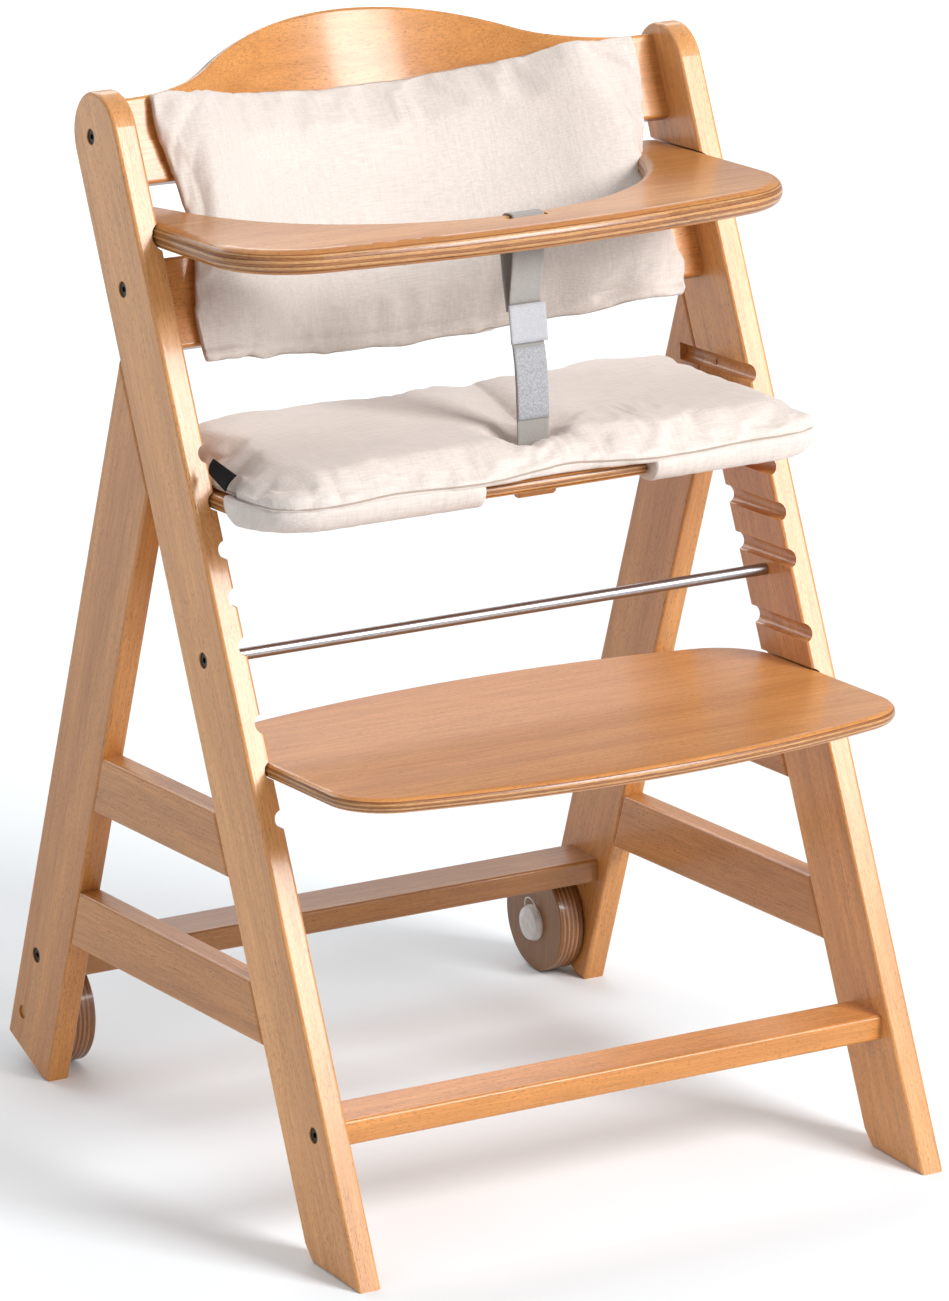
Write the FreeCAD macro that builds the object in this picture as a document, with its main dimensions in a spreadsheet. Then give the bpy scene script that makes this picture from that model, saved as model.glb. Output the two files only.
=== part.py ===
import FreeCAD, Part
import math
import os
import Sketcher

# Baby high chair: A-shaped wooden sides, sliding plywood boards, a tray, wheels and a cushion set.
#
# Working frame of this file: X to the right, Y to the back, Z up, with Y = 0 and Z = 0 at the
# bottom front corner of the front feet.  Every sub-part's Placement moves it forward by
# depth_center, which puts the origin at the middle of the chair's footprint.

DOC = FreeCAD.newDocument("high_chair")
ZERO = 1e-6
OVERRUN = 1.0   # how far a cut starts outside the face that it goes into

# Driving dimensions, in millimetres and degrees.
SIZES = {
    # whole chair and side members
    "overall_width": 470.0,
    "side_thickness": 18.0,
    "member_width": 66.0,
    "depth_center": 274.0,
    "edge_round": 2.5,
    "lean_angle": 25.0,
    "upright_top": 755.6,
    "foot_length": 67.0,
    "foot_lift": 10.0,
    "leg_angle": 19.27,
    "leg_foot_front": 471.2,
    "leg_width_level": 70.2,
    "leg_foot_length": 9.0,
    "leg_foot_lift": 20.4,
    # side rails and cross bars
    "rail_slope": 3.2,
    "rail_height": 43.2,
    "lower_rail_base": 142.3,
    "upper_rail_base": 251.9,
    "front_bar_start": 55.9,
    "front_bar_width": 39.1,
    "rear_bar_start": 451.2,
    "rear_bar_width": 41.8,
    "bar_base": 83.9,
    "bar_height": 18.0,
    # grooves for the boards and the tray
    "groove_radius": 6.3,
    "tray_groove_radius": 9.6,
    "tray_groove_inset": 3.1,
    "groove_lead": 40.0,
    "groove_run": 134.0,
    # seat board and footboard
    "board_thickness": 10.5,
    "board_half_width": 221.6,
    "board_nose": 5.1,
    "seat_front": 146.5,
    "seat_front_radius": 3000.0,
    "seat_rear": 362.0,
    "foot_front": -3.0,
    "foot_front_radius": 739.0,
    "foot_rear": 281.0,
    "board_rear_radius": 780.0,
    "board_front_corner": 48.0,
    "board_rear_corner": 55.0,
    "seat_slot_place": 178.8,
    "seat_slot_length": 30.0,
    "seat_slot_width": 6.0,
    # tray
    "tray_thickness": 17.6,
    "tray_half_width": 221.6,
    "tray_nose": 8.2,
    "tray_front": 148.5,
    "tray_front_radius": 878.0,
    "tray_corner": 66.0,
    "tray_wing_end": 384.0,
    "tray_cut_radius": 181.5,
    "tray_cut_start": 202.0,
    "tray_wing_inner": 188.0,
    "tray_tip_round": 12.0,
    "slot_length": 33.0,
    "slot_width": 7.0,
    "slot_place": 185.5,
    # back boards
    "back_base_depth": 356.7,
    "back_base_level": 691.0,
    "back_thickness": 14.0,
    "back_bow": 57.0,
    "back_flat_start": 195.0,
    "back_blend_radius": 100.0,
    "top_board_height": 61.6,
    "arch_rise": 56.0,
    "arch_flat_start": 202.0,
    "arch_blend_radius": 155.0,
    "lower_board_start": -116.5,
    "lower_board_height": 64.0,
    # clamping rod, bolts and dowels
    "rod_radius": 4.25,
    "rod_inset": 3.0,
    "bolt_radius": 3.0,
    "bolt_length": 50.0,
    "bolt_sink": 1.0,
    "head_radius": 5.6,
    "head_height": 4.0,
    "socket_size": 4.0,
    "recess_gap": 0.2,
    "bar_bore_depth": 40.0,
    "board_bore_depth": 36.0,
    "rod_bolt_radius": 2.4,
    "rod_bolt_length": 34.0,
    "nut_radius": 5.0,
    "nut_length": 14.0,
    "nut_setback": 6.0,
    "nut_bore_depth": 17.6,
    "insert_radius": 4.5,
    "insert_length": 13.0,
    "dowel_radius": 4.0,
    "dowel_length": 32.0,
    "small_dowel_radius": 3.0,
    "small_dowel_length": 30.0,
    "small_dowel_sunk": 9.5,
    "face_dowel_bore": 11.0,
    "end_dowel_bore": 23.0,
    "hole_clearance": 0.05,
    # wheels
    "wheel_radius": 41.4,
    "wheel_thickness": 20.0,
    "wheel_gap": 1.5,
    "wheel_depth": 510.0,
    "wheel_level": 42.0,
    "wheel_ease": 1.0,
    "washer_ring": 5.0,
    "washer_gap": 0.1,
    "axle_radius": 5.0,
    "axle_head_radius": 7.5,
    "axle_head_height": 2.4,
    "axle_head_gap": 0.4,
    "axle_cover": 5.0,
    "cap_radius": 14.0,
    "cap_drop": 4.3,
    "cap_height": 6.5,
    "cap_bore_gap": 0.5,
    "cap_rim_height": 1.6,
    "cap_shoulder": 1.6,
    "cap_bevel": 1.2,
    "cap_crown_inset": 7.0,
    "cap_inner_gap": 0.6,
    "plug_radius": 4.6,
    "plug_recess": 1.5,
    "plug_gap": 0.2,
    # crotch strap
    "strap_width": 25.0,
    "strap_thickness": 1.6,
    "flap_width": 29.0,
    "flap_layers": 2.2,
    "retainer_half": 15.0,
    "retainer_radius": 4.4,
    "retainer_end_radius": 3.6,
    "retainer_taper": 1.5,
    # cushions
    "seat_pad_height": 24.0,
    "seat_pad_half_front": 221.0,
    "seat_pad_half_rear": 212.0,
    "seat_pad_overhang": 22.0,
    "seat_pad_step": 80.0,
    "seat_pad_step_run": 8.0,
    "seat_pad_rear_gap": 4.0,
    "seat_pad_corner": 22.0,
    "seat_pad_crown": 9.0,
    "pocket_outer": 196.0,
    "pocket_left_inner": 58.0,
    "pocket_right_inner": 74.0,
    "pocket_drop": 4.0,
    "back_pad_thickness": 20.0,
    "back_pad_half": 190.0,
    "back_pad_waist": 165.0,
    "back_pad_bottom": -134.0,
    "back_pad_top": 59.0,
    "waist_top": 14.0,
    "waist_upper": -8.0,
    "waist_lower": -52.0,
    "waist_bottom": -76.0,
    "label_thickness": 0.8,
    "label_length": 24.0,
    "label_height": 16.0,
    "label_depth": 194.0,
    "label_level": 507.0,
    "soft_gap": 0.4,
}

# Heights of the groove axes at the front edge of the uprights.
BOARD_GROOVES = (526.7, 496.0, 465.4, 435.2, 404.2, 355.2, 325.5, 294.8)
SEAT_GROOVE = BOARD_GROOVES[1]
FOOT_GROOVE = BOARD_GROOVES[6]
TRAY_GROOVE = 665.0
LEG_GROOVES = BOARD_GROOVES[:2]   # the grooves that run on into the rear legs

# Bolts in the ends of the back boards: distance up the lean from the top board's lower edge.
BACK_BOLT_PLACES = (38.7, -69.6)
BACK_DOWEL_PLACES = (12.7, -95.6)

# Centres (depth, height) seen from the side: bolts and locating dowels of the cross bars, rod.
BAR_BOLTS = ((63.2, 93.4), (485.3, 93.4))
BAR_DOWELS = ((84.0, 92.9), (462.0, 92.9))
ROD_BOLT = (219.0, 388.8)
RETAINER_PLACE = (172.6, 489.4)

# Places of paired dowels, as shares of the joint's length.
RAIL_DOWEL_SHARES = (0.27, 0.73)
MITRE_DOWEL_SHARES = (0.3, 0.66)


def fill_sheet():
    """Write the driving dimensions into the spreadsheet and give each cell its alias."""
    sheet = DOC.addObject("Spreadsheet::Sheet", "Dim")
    for row, (alias, value) in enumerate(SIZES.items(), start=1):
        sheet.set("A%d" % row, alias.replace("_", " "))
        sheet.set("B%d" % row, str(value))
        sheet.setAlias("B%d" % row, alias)
    DOC.recompute()
    return sheet


SHEET = fill_sheet()


def size(expression):
    """Value of an expression over the sheet, such as "Dim.member_width / 2"."""
    return float(SHEET.evalExpression(expression))


def vector(*values):
    return FreeCAD.Vector(*values)


# ---------------------------------------------------------------- helpers for bodies and sketches

def new_body(label, depth="0", level="0", fall=None):
    """A body with its own label and Placement, moved so that the chair's footprint is centred.

    fall is the angle by which the body's local Y axis points down towards the back.
    """
    body = DOC.addObject("PartDesign::Body", label)
    body.Label = label
    base_depth = "%s - Dim.depth_center" % depth
    turn = FreeCAD.Rotation(vector(-1, 0, 0), size(fall)) if fall else FreeCAD.Rotation()
    body.Placement = FreeCAD.Placement(vector(0, size(base_depth), size(level)), turn)
    body.setExpression(".Placement.Base.y", base_depth)
    body.setExpression(".Placement.Base.z", level)
    if fall:
        body.setExpression(".Placement.Rotation.Angle", fall)
    return body


def origin_plane(body, role):
    for feature in body.Origin.OriginFeatures:
        if feature.Role == role:
            return feature
    raise ValueError(role)


def new_sketch(body, name, role, offset="0"):
    """A sketch on one of the body's own origin planes, shifted along the plane's normal."""
    sketch = body.newObject("Sketcher::SketchObject", name)
    sketch.AttachmentSupport = [(origin_plane(body, role), "")]
    sketch.MapMode = "FlatFace"
    sketch.AttachmentOffset = FreeCAD.Placement(vector(0, 0, size(offset)), FreeCAD.Rotation())
    sketch.setExpression(".AttachmentOffset.Base.z", offset)
    return sketch


def arc_through(start, end, radius):
    """Minor arc between start and end; a positive radius has its centre on the left of the way.

    A sketch keeps arcs counter-clockwise, so the other kind is made from end to start.
    """
    chord = end - start
    left = vector(-chord.y, chord.x, 0).normalize()
    reach = math.sqrt(max(radius * radius - chord.Length ** 2 / 4.0, 0.0))
    side = 1.0 if radius > 0 else -1.0
    center = (start + end) * 0.5 + left * (side * reach)
    middle = center - left * radius
    if radius < 0:
        return Part.Arc(end, middle, start)
    return Part.Arc(start, middle, end)


def fix_coordinate(sketch, kind, geometry, point, expression, name):
    """Hold one coordinate of a corner at the value of its expression."""
    value = size(expression)
    if abs(value) < ZERO:
        axis = -2 if kind == "DistanceX" else -1
        sketch.addConstraint(Sketcher.Constraint("PointOnObject", geometry, point, axis))
        return
    index = sketch.addConstraint(Sketcher.Constraint(kind, geometry, point, value))
    sketch.renameConstraint(index, name)
    sketch.setExpression("Constraints." + name, expression)


def draw_outline(sketch, corners, tag="p"):
    """Closed outline from corners (x, y) or (x, y, radius); a radius bends the side that follows.

    Every corner is held by its two expressions and every arc by its radius.
    """
    points = [vector(size(corner[0]), size(corner[1]), 0) for corner in corners]
    sides = []
    for index, corner in enumerate(corners):
        start = points[index]
        end = points[(index + 1) % len(points)]
        if len(corner) == 3:
            geometry = arc_through(start, end, size(corner[2]))
        else:
            geometry = Part.LineSegment(start, end)
        number = sketch.addGeometry(geometry, False)
        placed = sketch.Geometry[number]
        forward = placed.StartPoint.distanceToPoint(start) < placed.EndPoint.distanceToPoint(start)
        sides.append((number, 1 if forward else 2, 2 if forward else 1))
    for index, corner in enumerate(corners):
        number, first, last = sides[index]
        following, follow_first = sides[(index + 1) % len(sides)][:2]
        join = Sketcher.Constraint("Coincident", number, last, following, follow_first)
        sketch.addConstraint(join)
        name = "%s%d" % (tag, index)
        fix_coordinate(sketch, "DistanceX", number, first, corner[0], name + "_x")
        fix_coordinate(sketch, "DistanceY", number, first, corner[1], name + "_y")
        if len(corner) == 3:
            bend = Sketcher.Constraint("Radius", number, abs(size(corner[2])))
            bend_index = sketch.addConstraint(bend)
            sketch.renameConstraint(bend_index, name + "_r")
            sketch.setExpression("Constraints." + name + "_r", "abs(%s)" % corner[2])


def pad(body, sketch, name, length):
    feature = body.newObject("PartDesign::Pad", name)
    feature.Profile = sketch
    feature.Length = size(length)
    feature.setExpression("Length", length)
    DOC.recompute()
    return feature


def cut_through(body, sketch, name):
    """Pocket both ways through the body; it has to take material away."""
    before = body.Shape.Volume
    feature = body.newObject("PartDesign::Pocket", name)
    feature.Profile = sketch
    feature.Type = "ThroughAll"
    feature.Midplane = True
    DOC.recompute()
    if body.Shape.Volume > before - ZERO:
        raise RuntimeError(name + " removed nothing")
    return feature


def faces_along(shape, directions):
    """Names of the flat faces whose normal is along one of the directions."""
    names = []
    for number, face in enumerate(shape.Faces, start=1):
        if face.Surface.TypeId != "Part::GeomPlane":
            continue
        normal = face.normalAt(0, 0)
        if any(normal.getAngle(direction) < 0.01 for direction in directions):
            names.append("Face%d" % number)
    return names


BOTH_X = (vector(1, 0, 0), vector(-1, 0, 0))
BOTH_Z = (vector(0, 0, 1), vector(0, 0, -1))


def round_edges(body, base, name, directions, radius):
    """Round every edge of the flat faces that look along the given directions."""
    return fillet(body, base, name, faces_along(base.Shape, directions), radius)


def fillet(body, base, name, elements, radius):
    feature = body.newObject("PartDesign::Fillet", name)
    feature.Base = (base, elements)
    feature.Radius = size(radius)
    feature.setExpression("Radius", radius)
    DOC.recompute()
    return feature


def upright_edges(shape, wanted):
    """Names of the edges along Z whose place (x, y) passes the wanted test."""
    names = []
    for number, edge in enumerate(shape.Edges, start=1):
        if abs(edge.tangentAt(edge.FirstParameter).z) < 0.999:
            continue
        place = edge.valueAt(edge.FirstParameter)
        if wanted(place):
            names.append("Edge%d" % number)
    return names


def drill(body, name, start, direction, radius, length):
    """Take a round hole out of the body, from start along direction."""
    before = body.Shape.Volume
    feature = body.newObject("PartDesign::SubtractiveCylinder", name)
    turn = FreeCAD.Rotation(vector(0, 0, 1), direction)
    feature.Placement = FreeCAD.Placement(start, turn)
    feature.Radius = size(radius)
    feature.setExpression("Radius", radius)
    feature.Height = size(length)
    feature.setExpression("Height", length)
    DOC.recompute()
    if body.Shape.Volume > before - ZERO:
        raise RuntimeError("%s: %s removed nothing" % (body.Label, name))
    return feature


# ---------------------------------------------------------------- geometry shared by the members

LEAN = "tan(Dim.lean_angle)"
INNER = size("Dim.overall_width / 2 - Dim.side_thickness")
OUTER = size("Dim.overall_width / 2")
LEAN_RADIANS = math.radians(size("Dim.lean_angle"))
SLOPE_RADIANS = math.radians(size("Dim.rail_slope"))
UP_LEAN = vector(0, math.sin(LEAN_RADIANS), math.cos(LEAN_RADIANS))
BACK_LEAN = vector(0, math.cos(LEAN_RADIANS), -math.sin(LEAN_RADIANS))
GROOVE_WAY = vector(0, math.cos(SLOPE_RADIANS), -math.sin(SLOPE_RADIANS))
SIDES = (("left", -1), ("right", 1))


def member_offset(side):
    """Expression for where a side member's pad starts; it always grows towards +X."""
    if side > 0:
        return "Dim.overall_width / 2 - Dim.side_thickness"
    return "-Dim.overall_width / 2"


def inward(side):
    return vector(-side, 0, 0)


def rail_point(edge, base, height):
    """Corner of a side rail on the upright's rear edge ("front") or the leg's front edge ("rear").

    The rail's edges fall towards the back by rail_slope; base is their height at depth zero.
    """
    fall = "tan(Dim.rail_slope)"
    level = "(%s + %s)" % (base, height)
    if edge == "front":
        start = "Dim.member_width / cos(Dim.lean_angle)"
        y = "((%s + %s * %s) / (1 + %s * %s))" % (start, LEAN, level, LEAN, fall)
    else:
        lean_back = "tan(Dim.leg_angle)"
        y = "((Dim.leg_foot_front - %s * %s) / (1 - %s * %s))" % (lean_back, level, lean_back, fall)
    return y, "%s - %s * %s" % (level, fall, y)


def rail_dowel_sites(base):
    """Dowel centres (depth, height) at both ends of a side rail, two to each end."""
    sites = []
    for share in RAIL_DOWEL_SHARES:
        height = "Dim.rail_height * %s" % share
        for edge in ("front", "rear"):
            y, z = rail_point(edge, base, height)
            sites.append((size(y), size(z)))
    return sites


RAIL_DOWELS = rail_dowel_sites("Dim.lower_rail_base") + rail_dowel_sites("Dim.upper_rail_base")


def mitre_end(distance):
    """Point on the upright's rear edge where the leg's edge, at that distance behind, meets it."""
    lean_back = "tan(Dim.leg_angle)"
    start = "Dim.member_width / cos(Dim.lean_angle)"
    z = "((Dim.leg_foot_front + %s - %s) / (%s + %s))" % (distance, start, LEAN, lean_back)
    return "%s + %s * %s" % (start, LEAN, z), z


def mitre_dowel_sites():
    """Two dowel centres along the mitre between the rear leg and the upright."""
    low = vector(0, *[size(value) for value in mitre_end("0")])
    high = vector(0, *[size(value) for value in mitre_end("Dim.leg_width_level")])
    return [low + (high - low) * share for share in MITRE_DOWEL_SHARES]


MITRE_DOWELS = mitre_dowel_sites()


def lean_site(place):
    """(depth, height) of a point in the middle of the back boards' thickness at their ends."""
    base = vector(0, size("Dim.back_base_depth"), size("Dim.back_base_level"))
    point = base + UP_LEAN * place + BACK_LEAN * size("Dim.back_thickness / 2")
    return point.y, point.z


BACK_BOLTS = tuple(lean_site(place) for place in BACK_BOLT_PLACES)
BACK_DOWELS = tuple(lean_site(place) for place in BACK_DOWEL_PLACES)


def drill_from_outside(body, side, sites):
    """Bolt hole and head recess through a side member, at each (depth, height)."""
    hole = "Dim.bolt_radius + 2 * Dim.hole_clearance"
    recess = "Dim.head_radius + Dim.recess_gap"
    recess_depth = "Dim.head_height + Dim.bolt_sink + %s" % OVERRUN
    for number, (depth, level) in enumerate(sites, start=1):
        start = vector(side * (OUTER + OVERRUN), depth, level)
        drill(body, "bolt_hole_%d" % number, start, inward(side), hole, "Dim.side_thickness + 2")
        drill(body, "recess_%d" % number, start, inward(side), recess, recess_depth)


def drill_dowels_into_face(body, side, sites):
    """Blind dowel holes in the inner face of a side member."""
    radius = "Dim.small_dowel_radius + Dim.hole_clearance"
    for number, (depth, level) in enumerate(sites, start=1):
        start = vector(side * (INNER - OVERRUN), depth, level)
        name = "face_dowel_%d" % number
        drill(body, name, start, vector(side, 0, 0), radius, "Dim.face_dowel_bore")


def drill_along(body, name, middle, direction):
    """Dowel hole centred on a joint line, half its length into each member."""
    start = middle - direction * size("Dim.dowel_length / 2 + 1")
    radius = "Dim.dowel_radius + Dim.hole_clearance"
    drill(body, name, start, direction, radius, "Dim.dowel_length + 2")


def drill_groove(body, name, side, height, inset, radius):
    """Round-bottomed groove along the boards' slope, its axis inset from the inner face."""
    across = side * (INNER - size(inset))
    front = vector(across, height * math.tan(LEAN_RADIANS), height)
    start = front - GROOVE_WAY * size("Dim.groove_lead")
    drill(body, name, start, GROOVE_WAY, radius, "Dim.groove_run")


# ---------------------------------------------------------------- side frames

def build_upright(name, side):
    """Leaning front member with a round top, a flat foot and nine grooves on its inner face."""
    body = new_body("upright_" + name)
    sketch = new_sketch(body, "upright_outline_" + name, "YZ_Plane", member_offset(side))
    half = "Dim.member_width / 2"
    level = "(Dim.upright_top - %s)" % half
    depth = "(%s / cos(Dim.lean_angle) + %s * %s)" % (half, LEAN, level)
    across = "%s * cos(Dim.lean_angle)" % half
    along = "%s * sin(Dim.lean_angle)" % half
    heel = "Dim.member_width / cos(Dim.lean_angle) + %s * Dim.foot_lift" % LEAN
    draw_outline(sketch, (
        ("0", "0"),
        ("Dim.foot_length", "0"),
        (heel, "Dim.foot_lift"),
        ("%s + %s" % (depth, across), "%s - %s" % (level, along), half),
        ("%s + %s" % (depth, along), "%s + %s" % (level, across), half),
        ("%s - %s" % (depth, across), "%s + %s" % (level, along)),
    ))
    blank = pad(body, sketch, "upright_blank_" + name, "Dim.side_thickness")
    round_edges(body, blank, "upright_round_" + name, BOTH_X, "Dim.edge_round")
    for number, height in enumerate(BOARD_GROOVES, start=1):
        drill_groove(body, "groove_%d" % number, side, height, "0", "Dim.groove_radius")
    drill_groove(body, "tray_groove", side, TRAY_GROOVE, "Dim.tray_groove_inset",
                 "Dim.tray_groove_radius")
    drill_from_outside(body, side, BACK_BOLTS + (BAR_BOLTS[0], ROD_BOLT))
    drill_dowels_into_face(body, side, BACK_DOWELS + (BAR_DOWELS[0],))
    rod_start = vector(side * (INNER - OVERRUN), *ROD_BOLT)
    drill(body, "rod_seat", rod_start, vector(side, 0, 0),
          "Dim.rod_radius + Dim.hole_clearance", "Dim.rod_inset + 1.2")
    middle = side * (INNER + size("Dim.side_thickness / 2"))
    for number, (place, height) in enumerate(RAIL_DOWELS[0::2], start=1):
        drill_along(body, "rail_dowel_%d" % number, vector(middle, place, height), GROOVE_WAY)
    for number, point in enumerate(MITRE_DOWELS, start=1):
        place = vector(middle, point.y, point.z)
        drill_along(body, "mitre_dowel_%d" % number, place, BACK_LEAN)
    return body


def build_rear_leg(name, side):
    """Rear member that leans forward and ends in a mitre against the upright's rear edge.

    The two highest grooves run out into it.
    """
    body = new_body("rear_leg_" + name)
    sketch = new_sketch(body, "leg_outline_" + name, "YZ_Plane", member_offset(side))
    lean_back = "tan(Dim.leg_angle)"
    heel = "Dim.leg_foot_front + Dim.leg_width_level - %s * Dim.leg_foot_lift" % lean_back
    low = mitre_end("0")
    high = mitre_end("Dim.leg_width_level")
    draw_outline(sketch, (
        ("Dim.leg_foot_front", "0"),
        ("Dim.leg_foot_front + Dim.leg_foot_length", "0"),
        (heel, "Dim.leg_foot_lift"),
        high,
        low,
    ))
    blank = pad(body, sketch, "leg_blank_" + name, "Dim.side_thickness")
    round_edges(body, blank, "leg_round_" + name, BOTH_X, "Dim.edge_round")
    for number, height in enumerate(LEG_GROOVES, start=1):
        drill_groove(body, "groove_end_%d" % number, side, height, "0", "Dim.groove_radius")
    drill_from_outside(body, side, BAR_BOLTS[1:])
    drill_dowels_into_face(body, side, BAR_DOWELS[1:])
    wheel = (size("Dim.wheel_depth"), size("Dim.wheel_level"))
    drill(body, "axle_hole", vector(side * (INNER - OVERRUN), *wheel), vector(side, 0, 0),
          "Dim.axle_radius + Dim.hole_clearance", "Dim.side_thickness + 2")
    middle = side * (INNER + size("Dim.side_thickness / 2"))
    for number, (place, height) in enumerate(RAIL_DOWELS[1::2], start=1):
        drill_along(body, "rail_dowel_%d" % number, vector(middle, place, height), GROOVE_WAY)
    for number, point in enumerate(MITRE_DOWELS, start=1):
        place = vector(middle, point.y, point.z)
        drill_along(body, "mitre_dowel_%d" % number, place, BACK_LEAN)
    return body


def build_rail(label, side, base, dowels):
    """Side rail that falls slightly to the back, butted between the upright and the rear leg."""
    body = new_body(label)
    sketch = new_sketch(body, "outline_" + label, "YZ_Plane", member_offset(side))
    draw_outline(sketch, (
        rail_point("front", base, "0"),
        rail_point("rear", base, "0"),
        rail_point("rear", base, "Dim.rail_height"),
        rail_point("front", base, "Dim.rail_height"),
    ))
    blank = pad(body, sketch, "blank_" + label, "Dim.side_thickness")
    round_edges(body, blank, "round_" + label, BOTH_X, "Dim.edge_round")
    middle = side * (INNER + size("Dim.side_thickness / 2"))
    for number, (place, height) in enumerate(dowels, start=1):
        drill_along(body, "dowel_%d" % number, vector(middle, place, height), GROOVE_WAY)
    return body


def drill_bar_end(body, side, bolt, dowel):
    """Bolt, barrel nut and dowel holes at one end of a cross bar."""
    start = vector(side * (INNER + OVERRUN), *bolt)
    drill(body, "bolt_bore", start, inward(side),
          "Dim.bolt_radius + 2 * Dim.hole_clearance", "Dim.bar_bore_depth")
    below = vector(side * nut_place(), bolt[0], size("Dim.bar_base") - OVERRUN)
    drill(body, "nut_bore", below, vector(0, 0, 1), "Dim.nut_radius + Dim.hole_clearance",
          "Dim.nut_bore_depth")
    drill(body, "dowel_bore", vector(side * (INNER + OVERRUN), *dowel), inward(side),
          "Dim.small_dowel_radius + Dim.hole_clearance", "Dim.end_dowel_bore")


def nut_place():
    """Distance of the barrel nuts from the chair's middle plane."""
    return size("Dim.overall_width / 2 - Dim.bolt_length + Dim.nut_setback")


def build_cross_bar(label, start, width, bolt, dowel):
    """Flat bar between the two side frames, with eased edges."""
    body = new_body(label)
    half = "(Dim.overall_width / 2 - Dim.side_thickness)"
    sketch = new_sketch(body, "section_" + label, "YZ_Plane", "-" + half)
    top = "Dim.bar_base + Dim.bar_height"
    draw_outline(sketch, (
        (start, "Dim.bar_base"),
        ("%s + %s" % (start, width), "Dim.bar_base"),
        ("%s + %s" % (start, width), top),
        (start, top),
    ))
    blank = pad(body, sketch, "blank_" + label, "2 * " + half)
    long_edges = []
    for number, edge in enumerate(blank.Shape.Edges, start=1):
        if abs(edge.tangentAt(edge.FirstParameter).x) > 0.99:
            long_edges.append("Edge%d" % number)
    fillet(body, blank, "ease_" + label, long_edges, "Dim.edge_round")
    for _, side in SIDES:
        drill_bar_end(body, side, bolt, dowel)
    return body


# ---------------------------------------------------------------- back boards

def bowed_section(near, far):
    """Plan outline of a board or pad between two curves parallel to the back boards' bow.

    near and far are distances behind the boards' front face.  The front face is flat at its
    ends; a blend arc at each side leads to the main arc, which bows to the back.
    """
    half = "(Dim.overall_width / 2 - Dim.side_thickness)"
    rise = "Dim.back_bow"
    flat = "Dim.back_flat_start"
    blend = "Dim.back_blend_radius"
    reach = "((%s^2 + %s^2) / (2 * %s))" % (flat, rise, rise)
    main = "(%s - %s)" % (reach, blend)

    def meeting(shift):
        """Where the blend arc meets the main arc, on the curve shifted to the back."""
        share = "((%s + (%s)) / %s)" % (main, shift, reach)
        x = "%s * %s" % (flat, share)
        y = "%s - %s + (%s - %s) * %s" % (rise, main, reach, rise, share)
        return x, y

    near_x, near_y = meeting(near)
    far_x, far_y = meeting(far)
    near_blend = "%s - (%s)" % (blend, near)
    far_blend = "%s - (%s)" % (blend, far)
    near_main = "%s + (%s)" % (main, near)
    far_main = "%s + (%s)" % (main, far)
    return (
        ("-" + half, near),
        ("-" + flat, near, near_blend),
        ("-(%s)" % near_x, near_y, "-(%s)" % near_main),
        (near_x, near_y, near_blend),
        (flat, near),
        (half, near),
        (half, far),
        (flat, far, "-(%s)" % far_blend),
        (far_x, far_y, far_main),
        ("-(%s)" % far_x, far_y, "-(%s)" % far_blend),
        ("-" + flat, far),
        ("-" + half, far),
    )


def new_back_piece(label, near, far, bottom, height):
    """Body in the lean's own axes (Y through the thickness, Z up the lean) with a bowed pad."""
    body = new_body(label, "Dim.back_base_depth", "Dim.back_base_level", "Dim.lean_angle")
    sketch = new_sketch(body, "section_" + label, "XY_Plane", bottom)
    draw_outline(sketch, bowed_section(near, far))
    blank = pad(body, sketch, "blank_" + label, height)
    return body, blank


def curved_face_edges(shape, thickness):
    """Names of the edges on the two broad faces of a bowed board, its ends left out."""
    names = []
    half = INNER - ZERO * 1000
    for number, edge in enumerate(shape.Edges, start=1):
        box = edge.BoundBox
        at_end = abs(box.XMin) > half and abs(box.XMax) > half and box.XLength < 1.0
        along_thickness = box.ZLength < ZERO and abs(box.YLength - thickness) < ZERO
        if not at_end and not along_thickness and box.XLength > 1.0:
            names.append("Edge%d" % number)
    return names


def drill_board_ends(body, place, dowel_place):
    """Threaded-insert bore, bolt bore and dowel bore in both ends, in the lean's axes."""
    middle = size("Dim.back_thickness / 2")
    for name, side in SIDES:
        start = vector(side * (INNER + OVERRUN), middle, place)
        drill(body, "insert_bore_" + name, start, inward(side),
              "Dim.insert_radius + Dim.hole_clearance", "Dim.insert_length + 1.5")
        drill(body, "bolt_bore_" + name, start, inward(side),
              "Dim.bolt_radius + 2 * Dim.hole_clearance", "Dim.board_bore_depth")
        start = vector(side * (INNER + OVERRUN), middle, dowel_place)
        drill(body, "dowel_bore_" + name, start, inward(side),
              "Dim.small_dowel_radius + Dim.hole_clearance", "Dim.end_dowel_bore")


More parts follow.
